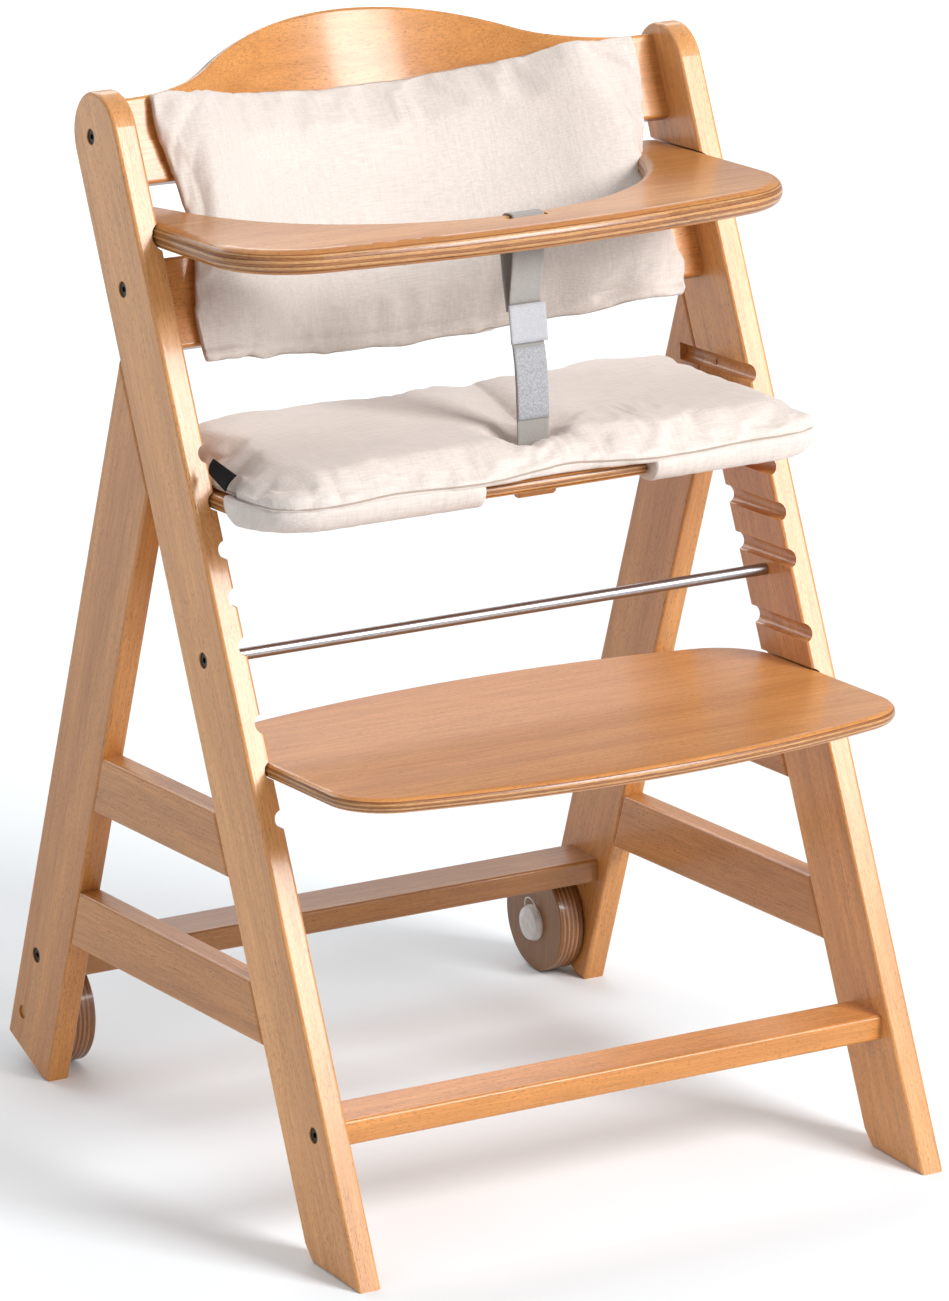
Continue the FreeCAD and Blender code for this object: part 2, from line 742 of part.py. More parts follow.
def build_top_back_board():
    """Bowed board with flat shoulders and a high arch in the middle of its upper edge."""
    total = "Dim.top_board_height + Dim.arch_rise"
    body, _ = new_back_piece("top_back_board", "0", "Dim.back_thickness", "0", total)
    rise = "Dim.arch_rise"
    flat = "Dim.arch_flat_start"
    blend = "Dim.arch_blend_radius"
    reach = "((%s^2 + %s^2) / (2 * %s))" % (flat, rise, rise)
    main = "(%s - %s)" % (reach, blend)
    meet_x = "(%s * %s / %s)" % (flat, main, reach)
    meet_z = "Dim.top_board_height + %s - %s + (%s - %s) * %s / %s" % (
        rise, main, reach, rise, main, reach)
    above = "Dim.top_board_height + Dim.arch_rise + 20"
    wide = "(Dim.overall_width / 2)"
    sketch = new_sketch(body, "arch_outline", "XZ_Plane")
    draw_outline(sketch, (
        ("-" + wide, "Dim.top_board_height"),
        ("-" + flat, "Dim.top_board_height", blend),
        ("-" + meet_x, meet_z, "-" + main),
        (meet_x, meet_z, blend),
        (flat, "Dim.top_board_height"),
        (wide, "Dim.top_board_height"),
        (wide, above),
        ("-" + wide, above),
    ))
    arch = cut_through(body, sketch, "arch_cut")
    edges = curved_face_edges(arch.Shape, size("Dim.back_thickness"))
    fillet(body, arch, "board_round", edges, "Dim.edge_round")
    drill_board_ends(body, BACK_BOLT_PLACES[0], BACK_DOWEL_PLACES[0])
    return body


def build_lower_back_board():
    """Bowed board with straight edges, below the top one and parallel to it."""
    body, blank = new_back_piece("lower_back_board", "0", "Dim.back_thickness",
                                 "Dim.lower_board_start", "Dim.lower_board_height")
    edges = curved_face_edges(blank.Shape, size("Dim.back_thickness"))
    fillet(body, blank, "lower_board_round", edges, "Dim.edge_round")
    drill_board_ends(body, BACK_BOLT_PLACES[1], BACK_DOWEL_PLACES[1])
    return body


# ---------------------------------------------------------------- sliding boards and tray

def groove_level(groove):
    """Height, at depth zero, of the plane through a pair of grooves."""
    return "%s * (1 + tan(Dim.rail_slope) * %s)" % (groove, LEAN)


def new_sliding_body(label, groove):
    """Body whose XY plane is the middle plane of a board held in a pair of grooves."""
    return new_body(label, "0", groove_level(groove), "Dim.rail_slope")


def build_board(label, groove, front, front_radius, rear):
    """Plywood board with bowed front and rear edges, round corners and a full bullnose."""
    body = new_sliding_body(label, groove)
    half = "Dim.board_half_width"
    rear_radius = "Dim.board_rear_radius"
    front_side = "%s + %s - sqrt(%s^2 - %s^2)" % (front, front_radius, front_radius, half)
    rear_side = "%s - %s + sqrt(%s^2 - %s^2)" % (rear, rear_radius, rear_radius, half)
    sketch = new_sketch(body, "outline_" + label, "XY_Plane", "-Dim.board_thickness / 2")
    draw_outline(sketch, (
        ("-" + half, front_side, front_radius),
        (half, front_side),
        (half, rear_side, rear_radius),
        ("-" + half, rear_side),
    ))
    blank = pad(body, sketch, "blank_" + label, "Dim.board_thickness")
    middle = size("(%s + %s) / 2" % (front, rear))
    front_edges = upright_edges(blank.Shape, lambda place: place.y < middle)
    corners = fillet(body, blank, "front_corners_" + label, front_edges, "Dim.board_front_corner")
    rear_edges = upright_edges(corners.Shape, lambda place: place.y > middle
                               and abs(place.x) > size(half) - 1.0
                               and place.y > size(rear_side) - 1.0)
    corners = fillet(body, corners, "rear_corners_" + label, rear_edges, "Dim.board_rear_corner")
    round_edges(body, corners, "bullnose_" + label, BOTH_Z, "Dim.board_nose")
    return body


def slot_outline(middle, length, width):
    """Round-ended slot along X, centred at depth middle."""
    straight = "%s / 2 - %s / 2" % (length, width)
    end = "%s / 2" % length
    return (
        ("-(%s)" % straight, "%s - %s / 2" % (middle, width)),
        (straight, "%s - %s / 2" % (middle, width), width + " / 2"),
        (end, middle, width + " / 2"),
        (straight, "%s + %s / 2" % (middle, width)),
        ("-(%s)" % straight, "%s + %s / 2" % (middle, width), width + " / 2"),
        ("-" + end, middle, width + " / 2"),
    )


def cut_slot(body, middle, length, width):
    sketch = new_sketch(body, "slot_outline_" + body.Label, "XY_Plane")
    draw_outline(sketch, slot_outline(middle, length, width))
    return cut_through(body, sketch, "strap_slot_" + body.Label)


def cut_seat_slot(body):
    """The slot that lets the strap through the seat board and its cushion."""
    return cut_slot(body, "Dim.seat_slot_place", "Dim.seat_slot_length", "Dim.seat_slot_width")


def build_tray():
    """Thick plywood tray: two wings that run in the tray grooves round a deep cut-out."""
    body = new_sliding_body("tray", str(TRAY_GROOVE))
    half = "Dim.tray_half_width"
    radius = "Dim.tray_front_radius"
    front_side = "Dim.tray_front + %s - sqrt(%s^2 - %s^2)" % (radius, radius, half)
    cut = "Dim.tray_cut_radius"
    center = "(Dim.tray_cut_start + %s)" % cut
    past = "(Dim.tray_wing_end - %s)" % center
    tip = "Dim.tray_wing_inner"
    span = "sqrt(%s^2 + %s^2)" % (tip, past)
    angle = "(asin(%s / %s) + atan(%s / %s))" % (cut, span, past, tip)
    cut_x = "%s * sin(%s)" % (cut, angle)
    cut_y = "%s - %s * cos(%s)" % (center, cut, angle)
    sketch = new_sketch(body, "tray_outline", "XY_Plane", "-Dim.tray_thickness / 2")
    draw_outline(sketch, (
        ("-" + half, front_side, radius),
        (half, front_side),
        (half, "Dim.tray_wing_end"),
        (tip, "Dim.tray_wing_end"),
        (cut_x, cut_y, "-" + cut),
        ("-(%s)" % cut_x, cut_y),
        ("-" + tip, "Dim.tray_wing_end"),
        ("-" + half, "Dim.tray_wing_end"),
    ))
    blank = pad(body, sketch, "tray_blank", "Dim.tray_thickness")
    front_edges = upright_edges(blank.Shape, lambda place: place.y < size("Dim.tray_cut_start"))
    corners = fillet(body, blank, "tray_corners", front_edges, "Dim.tray_corner")
    tip_edges = upright_edges(corners.Shape,
                              lambda place: place.y > size("Dim.tray_wing_end") - 1.0)
    tips = fillet(body, corners, "tray_tips", tip_edges, "Dim.tray_tip_round")
    round_edges(body, tips, "tray_bullnose", BOTH_Z, "Dim.tray_nose")
    cut_slot(body, "Dim.slot_place", "Dim.slot_length", "Dim.slot_width")
    return body


# ---------------------------------------------------------------- wheels, rod and fasteners

def axis_placement(side, distance, depth, level):
    """Placement whose local Z axis points from the side frame towards the chair's middle."""
    turn = FreeCAD.Rotation(vector(0, 0, 1), inward(side))
    base = vector(side * distance, depth - size("Dim.depth_center"), level)
    return FreeCAD.Placement(base, turn)


def revolve(label, corners, placement):
    """Body turned about its local Z axis from a half section of (radius, height) corners."""
    body = DOC.addObject("PartDesign::Body", label)
    body.Label = label
    sketch = new_sketch(body, "section_" + label, "XZ_Plane")
    draw_outline(sketch, corners)
    feature = body.newObject("PartDesign::Revolution", "turned_" + label)
    feature.Profile = sketch
    feature.ReferenceAxis = (sketch, ["V_Axis"])
    feature.Angle = 360.0
    body.Placement = placement
    DOC.recompute()
    return body


def build_wheel(name, side):
    """Plywood disc on a steel axle screwed into the rear leg; its cap sits below the centre."""
    place = axis_placement(side, INNER, size("Dim.wheel_depth"), size("Dim.wheel_level"))
    gap = "Dim.wheel_gap"
    far = "Dim.wheel_gap + Dim.wheel_thickness"
    bore = "Dim.axle_radius + Dim.hole_clearance"
    wheel = revolve("wheel_" + name, (
        (bore, gap),
        ("Dim.wheel_radius - Dim.wheel_ease", gap),
        ("Dim.wheel_radius", gap + " + Dim.wheel_ease"),
        ("Dim.wheel_radius", far + " - Dim.wheel_ease"),
        ("Dim.wheel_radius - Dim.wheel_ease", far),
        (bore, far),
    ), place)
    inside = "Dim.side_thickness - Dim.axle_cover"
    neck = far + " + Dim.axle_head_gap"
    head = "%s + Dim.axle_head_height" % neck
    axle = revolve("wheel_axle_" + name, (
        ("0", "-(%s)" % inside),
        ("Dim.axle_radius", "-(%s)" % inside),
        ("Dim.axle_radius", neck),
        ("Dim.axle_head_radius", neck),
        ("Dim.axle_head_radius", head),
        ("0", head),
    ), place)
    rim = "Dim.cap_radius"
    cap_level = size("Dim.wheel_level - Dim.cap_drop")
    cap_place = axis_placement(side, INNER, size("Dim.wheel_depth"), cap_level)
    crown = "%s + Dim.cap_height" % far
    cap_bore = "Dim.axle_head_radius + Dim.cap_drop + Dim.cap_bore_gap"
    cap_inside = head + " + Dim.cap_inner_gap"
    cap = revolve("hub_cap_" + name, (
        (cap_bore, far),
        (rim, far),
        (rim, far + " + Dim.cap_rim_height"),
        (rim + " - Dim.cap_shoulder", crown + " - Dim.cap_bevel"),
        (rim + " - Dim.cap_crown_inset", crown),
        ("0", crown),
        ("0", cap_inside),
        (cap_bore, cap_inside),
    ), cap_place)
    ring_inner = "Dim.axle_radius + Dim.washer_gap"
    ring_outer = "Dim.axle_radius + Dim.washer_ring"
    washer = revolve("wheel_washer_" + name, (
        (ring_inner, "Dim.washer_gap"),
        (ring_outer, "Dim.washer_gap"),
        (ring_outer, gap + " - Dim.washer_gap"),
        (ring_inner, gap + " - Dim.washer_gap"),
    ), place)
    plug_start = "Dim.plug_recess - Dim.side_thickness"
    plug_end = "-(%s) - Dim.plug_gap" % inside
    plug = revolve("axle_plug_" + name, (
        ("0", plug_start),
        ("Dim.plug_radius", plug_start),
        ("Dim.plug_radius", plug_end),
        ("0", plug_end),
    ), place)
    return [wheel, axle, cap, washer, plug]


def build_rod():
    """Steel rod between the side frames; a bolt at each end clamps the frames on the boards."""
    half = "(Dim.overall_width / 2 - Dim.side_thickness + Dim.rod_inset)"
    place = axis_placement(1, 0.0, *ROD_BOLT)
    rod = revolve("clamping_rod", (
        ("0", "-" + half),
        ("Dim.rod_radius", "-" + half),
        ("Dim.rod_radius", half),
        ("0", half),
    ), place)
    length = "Dim.rod_bolt_length - Dim.side_thickness + Dim.rod_inset + 2"
    for name, side in SIDES:
        start = vector(0, 0, -side * size(half + " + 1"))
        drill(rod, "thread_bore_" + name, start, vector(0, 0, side),
              "Dim.rod_bolt_radius + Dim.hole_clearance", length)
    return rod


def bolt_solid(radius, length):
    """Hexagon-socket bolt from the outer face inwards, with its head sunk below the face."""
    top = size("Dim.bolt_sink")
    head_height = size("Dim.head_height")
    head = Part.makeCylinder(size("Dim.head_radius"), head_height, vector(0, 0, top))
    shank = Part.makeCylinder(radius, length - head_height - top, vector(0, 0, top + head_height))
    across = size("Dim.socket_size") / math.sqrt(3.0)
    ring = [vector(across * math.cos(math.radians(60 * turn)),
                   across * math.sin(math.radians(60 * turn)), top - ZERO)
            for turn in range(7)]
    socket = Part.Face(Part.makePolygon(ring)).extrude(vector(0, 0, head_height * 0.6))
    return head.fuse(shank).removeSplitter().cut(socket)


def group(label, solids):
    """One node for identical loose pieces: a compound of separate solids."""
    node = DOC.addObject("Part::Feature", label)
    node.Label = label
    node.Shape = Part.makeCompound(solids)
    node.Placement = FreeCAD.Placement(vector(0, -size("Dim.depth_center"), 0),
                                       FreeCAD.Rotation())
    return node


def placed(solid, start, direction):
    """Copy of a solid with its local Z axis moved to start and turned along direction."""
    copy = solid.copy()
    turn = FreeCAD.Rotation(vector(0, 0, 1), direction)
    copy.Placement = FreeCAD.Placement(start, turn)
    return copy


def bolts_at(label, sites, radius, length):
    solid = bolt_solid(radius, length)
    solids = []
    for _, side in SIDES:
        for depth, level in sites:
            solids.append(placed(solid, vector(side * OUTER, depth, level), inward(side)))
    return group(label, solids)


def sleeve(radius, length):
    """Steel sleeve with a thread bore along its axis."""
    bore = size("Dim.bolt_radius + Dim.hole_clearance")
    body = Part.makeCylinder(radius, length)
    return body.cut(Part.makeCylinder(bore, length + 2.0, vector(0, 0, -1)))


def build_fasteners():
    """Bolts, barrel nuts, threaded inserts and dowels, each kind as one group of solids."""
    bolt_radius = size("Dim.bolt_radius")
    bolt_length = size("Dim.bolt_length")
    nodes = [
        bolts_at("back_board_bolts", BACK_BOLTS, bolt_radius, bolt_length),
        bolts_at("cross_bar_bolts", BAR_BOLTS, bolt_radius, bolt_length),
        bolts_at("rod_bolts", (ROD_BOLT,), size("Dim.rod_bolt_radius"),
                 size("Dim.rod_bolt_length")),
    ]
    length = size("Dim.nut_length")
    nut = Part.makeCylinder(size("Dim.nut_radius"), length)
    cross = Part.makeCylinder(size("Dim.bolt_radius + Dim.hole_clearance"), 2 * length,
                              vector(-length, 0, length / 2), vector(1, 0, 0))
    nut = nut.cut(cross)
    up = vector(0, 0, 1)
    nuts = [placed(nut, vector(side * nut_place(), depth, level - length / 2), up)
            for _, side in SIDES for depth, level in BAR_BOLTS]
    nodes.append(group("barrel_nuts", nuts))
    insert = sleeve(size("Dim.insert_radius"), size("Dim.insert_length"))
    inserts = [placed(insert, vector(side * INNER, depth, level), inward(side))
               for _, side in SIDES for depth, level in BACK_BOLTS]
    nodes.append(group("threaded_inserts", inserts))
    nodes.append(group("frame_dowels", frame_dowels()))
    small = Part.makeCylinder(size("Dim.small_dowel_radius"), size("Dim.small_dowel_length"))
    sunk = INNER + size("Dim.small_dowel_sunk")
    locating = [placed(small, vector(side * sunk, depth, level), inward(side))
                for _, side in SIDES for depth, level in BACK_DOWELS + BAR_DOWELS]
    nodes.append(group("locating_dowels", locating))
    return nodes


def frame_dowels():
    """Dowels in the rail joints and in the mitres of both side frames."""
    length = size("Dim.dowel_length")
    dowel = Part.makeCylinder(size("Dim.dowel_radius"), length)
    solids = []
    for _, side in SIDES:
        middle = side * (INNER + size("Dim.side_thickness / 2"))
        joints = [(vector(middle, depth, level), GROOVE_WAY) for depth, level in RAIL_DOWELS]
        joints += [(vector(middle, point.y, point.z), BACK_LEAN) for point in MITRE_DOWELS]
        for point, way in joints:
            solids.append(placed(dowel, point - way * (length / 2), way))
    return solids


# ---------------------------------------------------------------- strap and cushions

def ribbon_outline(path, thickness):
    """Closed outline round a path of (depth, height) points, half the thickness to each side."""
    points = [vector(depth, level, 0) for depth, level in path]
    left = []
    right = []
    for index, point in enumerate(points):
        before = points[max(index - 1, 0)]
        after = points[min(index + 1, len(points) - 1)]
        way = (after - before).normalize()
        across = vector(-way.y, way.x, 0) * (thickness / 2)
        left.append(point + across)
        right.append(point - across)
    ring = right + left[::-1]
    return [("%.3f" % point.x, "%.3f" % point.y) for point in ring]


def build_ribbon(label, path, thickness, width):
    """Flat strap piece: the path's outline padded to both sides of the middle plane."""
    body = new_body(label)
    sketch = new_sketch(body, "outline_" + label, "YZ_Plane", "-%s / 2" % width)
    draw_outline(sketch, ribbon_outline(path, thickness))
    pad(body, sketch, "padded_" + label, width)
    return body


STRAP_OVER_TRAY = (
    (188.0, 621.0),
    (186.2, 655.0),
    (185.6, 679.5),
    (187.5, 682.6),
    (198.0, 682.4),
    (204.2, 679.0),
    (205.6, 671.0),
    (205.2, 660.0),
    (199.0, 621.0),
)
STRAP_TO_SEAT = ((182.6, 588.0), (178.6, 528.0), (178.2, 485.5))
STRAP_FLAP = ((184.2, 592.5), (188.2, 618.0))


def build_strap():
    """Crotch strap: a loop round the tray's front, a closing flap and the run to the seat."""
    thickness = size("Dim.strap_thickness")
    upper = build_ribbon("strap_upper", STRAP_OVER_TRAY, thickness, "Dim.strap_width")
    lower = build_ribbon("strap_lower", STRAP_TO_SEAT, thickness, "Dim.strap_width")
    flap = build_ribbon("strap_flap", STRAP_FLAP, size("Dim.flap_layers") * thickness,
                        "Dim.flap_width")
    half = "Dim.retainer_half"
    straight = "(Dim.retainer_half - Dim.retainer_taper)"
    retainer = revolve("strap_retainer", (
        ("0", "-" + half),
        ("Dim.retainer_end_radius", "-" + half),
        ("Dim.retainer_radius", "-" + straight),
        ("Dim.retainer_radius", straight),
        ("Dim.retainer_end_radius", half),
        ("0", half),
    ), axis_placement(1, 0.0, *RETAINER_PLACE))
    return [upper, lower, flap, retainer]


def build_seat_cushion():
    """Seat pad on the board: wider in front of the uprights, with pockets over the front edge."""
    body = new_sliding_body("seat_cushion", str(SEAT_GROOVE))
    sketch = new_sketch(body, "pad_outline", "XY_Plane", "Dim.board_thickness / 2 + Dim.soft_gap")
    front = "Dim.seat_front - Dim.seat_pad_overhang"
    step = "Dim.seat_front + Dim.seat_pad_step"
    step_end = step + " + Dim.seat_pad_step_run"
    rear = "Dim.seat_rear - Dim.seat_pad_rear_gap"
    wide = "Dim.seat_pad_half_front"
    narrow = "Dim.seat_pad_half_rear"
    draw_outline(sketch, (
        ("-" + wide, front),
        (wide, front),
        (wide, step),
        (narrow, step_end),
        (narrow, rear),
        ("-" + narrow, rear),
        ("-" + narrow, step_end),
        ("-" + wide, step),
    ))
    blank = pad(body, sketch, "pad_blank", "Dim.seat_pad_height")
    corner_edges = upright_edges(blank.Shape, lambda place: abs(place.y - size(front)) < 1.0
                                 or abs(place.y - size(rear)) < 1.0)
    rounded = fillet(body, blank, "pad_corners", corner_edges, "Dim.seat_pad_corner")
    round_edges(body, rounded, "pad_crown", (vector(0, 0, 1),), "Dim.seat_pad_crown")
    pockets = new_sketch(body, "pocket_outline", "XY_Plane",
                         "-Dim.board_thickness / 2 - Dim.pocket_drop")
    pocket_rear = "Dim.seat_front - 2 * Dim.soft_gap"
    left = ("left", "-Dim.pocket_outer", "-Dim.pocket_left_inner")
    right = ("right", "Dim.pocket_right_inner", "Dim.pocket_outer")
    for tag, low, high in (left, right):
        draw_outline(pockets, (
            (low, front + " + 1"),
            (high, front + " + 1"),
            (high, pocket_rear),
            (low, pocket_rear),
        ), tag)
    pad(body, pockets, "front_pockets", "Dim.board_thickness + 2 * Dim.pocket_drop")
    cut_seat_slot(body)
    return body


def build_back_cushion():
    """Long back pad in front of both back boards, drawn in where it passes the tray's wings."""
    near = "-Dim.back_pad_thickness - Dim.soft_gap"
    bottom = "Dim.back_pad_bottom"
    height = "Dim.back_pad_top - Dim.back_pad_bottom"
    body, _ = new_back_piece("back_cushion", near, "-Dim.soft_gap", bottom, height)
    sketch = new_sketch(body, "side_cut_outline", "XZ_Plane")
    half = "Dim.back_pad_half"
    waist = "Dim.back_pad_waist"
    out = "(Dim.overall_width / 2)"
    low = "Dim.back_pad_bottom - %s" % OVERRUN
    top = "Dim.back_pad_top + %s" % OVERRUN
    for tag, sign, order in (("right", "", 1), ("left", "-", -1)):
        corners = [
            (sign + half, low),
            (sign + out, low),
            (sign + out, top),
            (sign + half, top),
            (sign + half, "Dim.waist_top"),
            (sign + waist, "Dim.waist_upper"),
            (sign + waist, "Dim.waist_lower"),
            (sign + half, "Dim.waist_bottom"),
        ]
        draw_outline(sketch, corners[::order], tag)
    cut_through(body, sketch, "side_cut")
    return body


def build_label():
    """Small blank woven label sewn to the left side of the seat cushion."""
    label = DOC.addObject("Part::Box", "cushion_label")
    label.Label = "cushion_label"
    label.setExpression("Length", "Dim.label_thickness")
    label.setExpression("Width", "Dim.label_length")
    label.setExpression("Height", "Dim.label_height")
    across = -size("Dim.seat_pad_half_front + Dim.soft_gap + Dim.label_thickness")
    depth = size("Dim.label_depth - Dim.depth_center")
    label.Placement = FreeCAD.Placement(vector(across, depth, size("Dim.label_level")),
                                        FreeCAD.Rotation())
    return label


# ---------------------------------------------------------------- build, check and write

def build_all():
    nodes = []
    for name, side in SIDES:
        nodes.append(build_upright(name, side))
        nodes.append(build_rear_leg(name, side))
        nodes.append(build_rail("lower_side_rail_" + name, side, "Dim.lower_rail_base",
                                RAIL_DOWELS[:4]))
        nodes.append(build_rail("upper_side_rail_" + name, side, "Dim.upper_rail_base",
                                RAIL_DOWELS[4:]))
        nodes.extend(build_wheel(name, side))
    nodes.append(build_cross_bar("front_cross_bar", "Dim.front_bar_start", "Dim.front_bar_width",
                                 BAR_BOLTS[0], BAR_DOWELS[0]))
    nodes.append(build_cross_bar("rear_cross_bar", "Dim.rear_bar_start", "Dim.rear_bar_width",
                                 BAR_BOLTS[1], BAR_DOWELS[1]))
    nodes.append(build_top_back_board())
    nodes.append(build_lower_back_board())
    nodes.append(build_rod())
    seat = build_board("seat_board", str(SEAT_GROOVE), "Dim.seat_front", "Dim.seat_front_radius",
                       "Dim.seat_rear")
    cut_seat_slot(seat)
    nodes.append(seat)
    nodes.append(build_board("footboard", str(FOOT_GROOVE), "Dim.foot_front",
                             "Dim.foot_front_radius", "Dim.foot_rear"))
    nodes.append(build_tray())
    nodes.extend(build_strap())
    nodes.append(build_seat_cushion())
    nodes.append(build_back_cushion())
    nodes.append(build_label())
    nodes.extend(build_fasteners())
    return nodes


def check(nodes):
    """Stop on any failed object or bad shape before a file is written."""
    for item in DOC.Objects:
        if "Invalid" in item.State or "Error" in item.State:
            raise RuntimeError("%s is %s" % (item.Label, item.State))
    for node in nodes:
        if node.Shape.isNull() or not node.Shape.isValid():
            raise RuntimeError(node.Label + " has a bad shape")


NODES = build_all()
DOC.recompute()
check(NODES)
os.makedirs("parts", exist_ok=True)
for part_node in NODES:
    part_node.Shape.exportStep("parts/%s.step" % part_node.Label)
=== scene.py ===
"""Looks of the baby high chair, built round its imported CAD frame.

Row frame, in metres: X to the right, Y to the back, Z up; the child faces -Y.
"""
import math

import bpy
from mathutils import Matrix, Vector, noise
from mathutils.bvhtree import BVHTree


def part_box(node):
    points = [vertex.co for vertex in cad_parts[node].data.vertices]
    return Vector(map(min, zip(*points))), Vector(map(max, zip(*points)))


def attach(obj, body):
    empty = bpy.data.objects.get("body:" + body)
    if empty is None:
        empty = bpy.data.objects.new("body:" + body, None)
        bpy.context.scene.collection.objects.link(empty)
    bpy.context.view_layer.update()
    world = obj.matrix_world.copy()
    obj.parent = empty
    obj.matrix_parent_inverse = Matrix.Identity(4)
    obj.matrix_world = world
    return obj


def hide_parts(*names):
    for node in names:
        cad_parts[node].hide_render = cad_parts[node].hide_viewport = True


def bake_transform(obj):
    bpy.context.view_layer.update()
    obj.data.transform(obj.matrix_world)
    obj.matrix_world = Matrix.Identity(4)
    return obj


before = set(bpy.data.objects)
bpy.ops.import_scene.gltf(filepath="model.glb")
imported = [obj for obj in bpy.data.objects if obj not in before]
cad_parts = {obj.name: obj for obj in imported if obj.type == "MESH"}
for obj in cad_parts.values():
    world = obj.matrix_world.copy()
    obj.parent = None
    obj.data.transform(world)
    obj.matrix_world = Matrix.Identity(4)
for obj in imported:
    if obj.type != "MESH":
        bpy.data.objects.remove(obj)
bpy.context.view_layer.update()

# ---------------- places taken from the frame

SLOPE = math.radians(3.2)        # fall of boards, grooves and rails towards the back
LEAN = math.radians(25.0)        # lean of the uprights and the back boards
LEG_LEAN = math.radians(19.27)   # forward lean of the rear legs
BACK_THICKNESS = 0.014
BACK_BOW = 0.057
BACK_FLAT = 0.195                # half width at which the back boards start to bow
BACK_BLEND = 0.100

UP_LEAN = Vector((0, math.sin(LEAN), math.cos(LEAN)))
BACK_LEAN = Vector((0, math.cos(LEAN), -math.sin(LEAN)))


def board_middle(node):
    """(middle depth, middle height, half thickness) of a board that lies on the slope."""
    low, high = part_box(node)
    depth = (low.y + high.y) / 2
    length = (high.y - low.y) / math.cos(SLOPE)
    thickness = (high.z - low.z - length * math.sin(SLOPE)) / math.cos(SLOPE)
    return depth, (low.z + high.z) / 2, thickness / 2


SEAT_DEPTH, SEAT_LEVEL, SEAT_HALF = board_middle("seat_board")
SEAT_LOW, SEAT_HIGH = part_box("seat_board")
TOP_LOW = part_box("top_back_board")[0]
BACK_BASE = Vector((0, TOP_LOW.y, TOP_LOW.z + (BACK_BOW + BACK_THICKNESS) * math.sin(LEAN)))


def bow(across, behind=0.0):
    """Distance of the back boards' front curve behind their flat ends, shifted by behind."""
    reach = (BACK_FLAT ** 2 + BACK_BOW ** 2) / (2 * BACK_BOW)
    main = reach - BACK_BLEND
    meet = BACK_FLAT * (main + behind) / reach
    x = abs(across)
    if x >= BACK_FLAT:
        return behind
    if x > meet:
        radius = BACK_BLEND - behind
        return BACK_BLEND - math.sqrt(max(radius ** 2 - (BACK_FLAT - x) ** 2, 0.0))
    return BACK_BOW - main + math.sqrt((main + behind) ** 2 - x * x)


# ---------------- colours

BEECH_LIGHT = (0.700, 0.312, 0.088)
BEECH_DARK = (0.540, 0.212, 0.052)
BEECH_FLECK = (0.190, 0.062, 0.016)
BEECH_PAINTED_HIGHLIGHT = (0.860, 0.490, 0.215)    # painted highlight: lighter colour mixed into the uprights for the bright light on their front faces
WHEEL_SHADE_TONE = 0.38                     # painted shade: the wheels are darkened to stand in for the shade on them

PLY_CREAM = (0.600, 0.330, 0.135)
PLY_LIGHT = (0.430, 0.175, 0.052)
PLY_DARK = (0.180, 0.058, 0.015)
PLY_GLUE = (0.060, 0.018, 0.006)

AXLE_STEEL = (0.60, 0.60, 0.61)
WASHER_STEEL = (0.55, 0.55, 0.56)
ROD_STEEL = (0.36, 0.36, 0.38)
BOLT_STEEL = (0.045, 0.040, 0.038)
NUT_STEEL = (0.50, 0.50, 0.50)
CAP_SHADE = (0.60, 0.57, 0.54)
CAP_LIGHT = (0.72, 0.70, 0.67)

LINEN = (0.700, 0.625, 0.575)
# painted shade: dark colour of the seam line, standing in for the shade in the seam's gap
LINEN_SEAM_SHADE = (0.430, 0.340, 0.280)
WEBBING = (0.360, 0.335, 0.310)
TAPE = (0.450, 0.450, 0.475)
TAPE_SHADE = (0.350, 0.350, 0.365)
LABEL_BLACK = (0.006, 0.006, 0.007)


# ---------------- camera, light and floor

def add_camera():
    """Long lens, from the front left and a little above."""
    data = bpy.data.cameras.new("camera")
    data.lens = 210.3
    data.sensor_width = 36.0
    data.clip_start = 0.1
    data.clip_end = 60.0
    camera = bpy.data.objects.new("camera", data)
    bpy.context.scene.collection.objects.link(camera)
    turn, rise, roll = math.radians(-29.591), math.radians(17.147), math.radians(0.081)
    distance = 5.3586
    ahead = Vector((-math.sin(turn) * math.cos(rise), math.cos(turn) * math.cos(rise),
                    -math.sin(rise)))
    target = Vector((0.00264, -0.01272, 0.3488))
    rotation = ahead.to_track_quat("-Z", "Y").to_matrix().to_4x4()
    camera.matrix_world = (Matrix.Translation(target - ahead * distance) @ rotation
                           @ Matrix.Rotation(roll, 4, "Z"))
    bpy.context.scene.camera = camera


def add_area_light(name, place, size, power, target=(0, 0, 0.35)):
    """Rectangular light at place, turned towards target."""
    data = bpy.data.lights.new(name, "AREA")
    data.shape = "RECTANGLE"
    data.size, data.size_y = size
    data.energy = power
    light = bpy.data.objects.new(name, data)
    light.location = place
    aim = Vector(target) - Vector(place)
    light.rotation_euler = aim.to_track_quat("-Z", "Y").to_euler()
    bpy.context.scene.collection.objects.link(light)


def add_light():
    """White surroundings, a key light from the front right, fills and a lit far floor."""
    world = bpy.data.worlds.new("studio")
    world.use_nodes = True
    background = world.node_tree.nodes["Background"]
    background.inputs["Color"].default_value = (1, 1, 1, 1)
    background.inputs["Strength"].default_value = 0.43
    bpy.context.scene.world = world
    add_area_light("key", (1.5, -2.9, 2.3), (1.4, 1.4), 150)
    add_area_light("front", (0.7, -3.4, 1.2), (1.8, 1.2), 9)
    add_area_light("left", (-2.8, -1.2, 1.2), (1.4, 1.4), 8)
    add_area_light("top", (0.2, 0.6, 3.0), (2.6, 2.6), 9)
    add_area_light("backdrop", (0, 5.2, 3.2), (7.0, 4.0), 340, (0, 5.2, 0))
    bpy.context.scene.view_settings.view_transform = "Standard"
    bpy.context.scene.view_settings.look = "None"


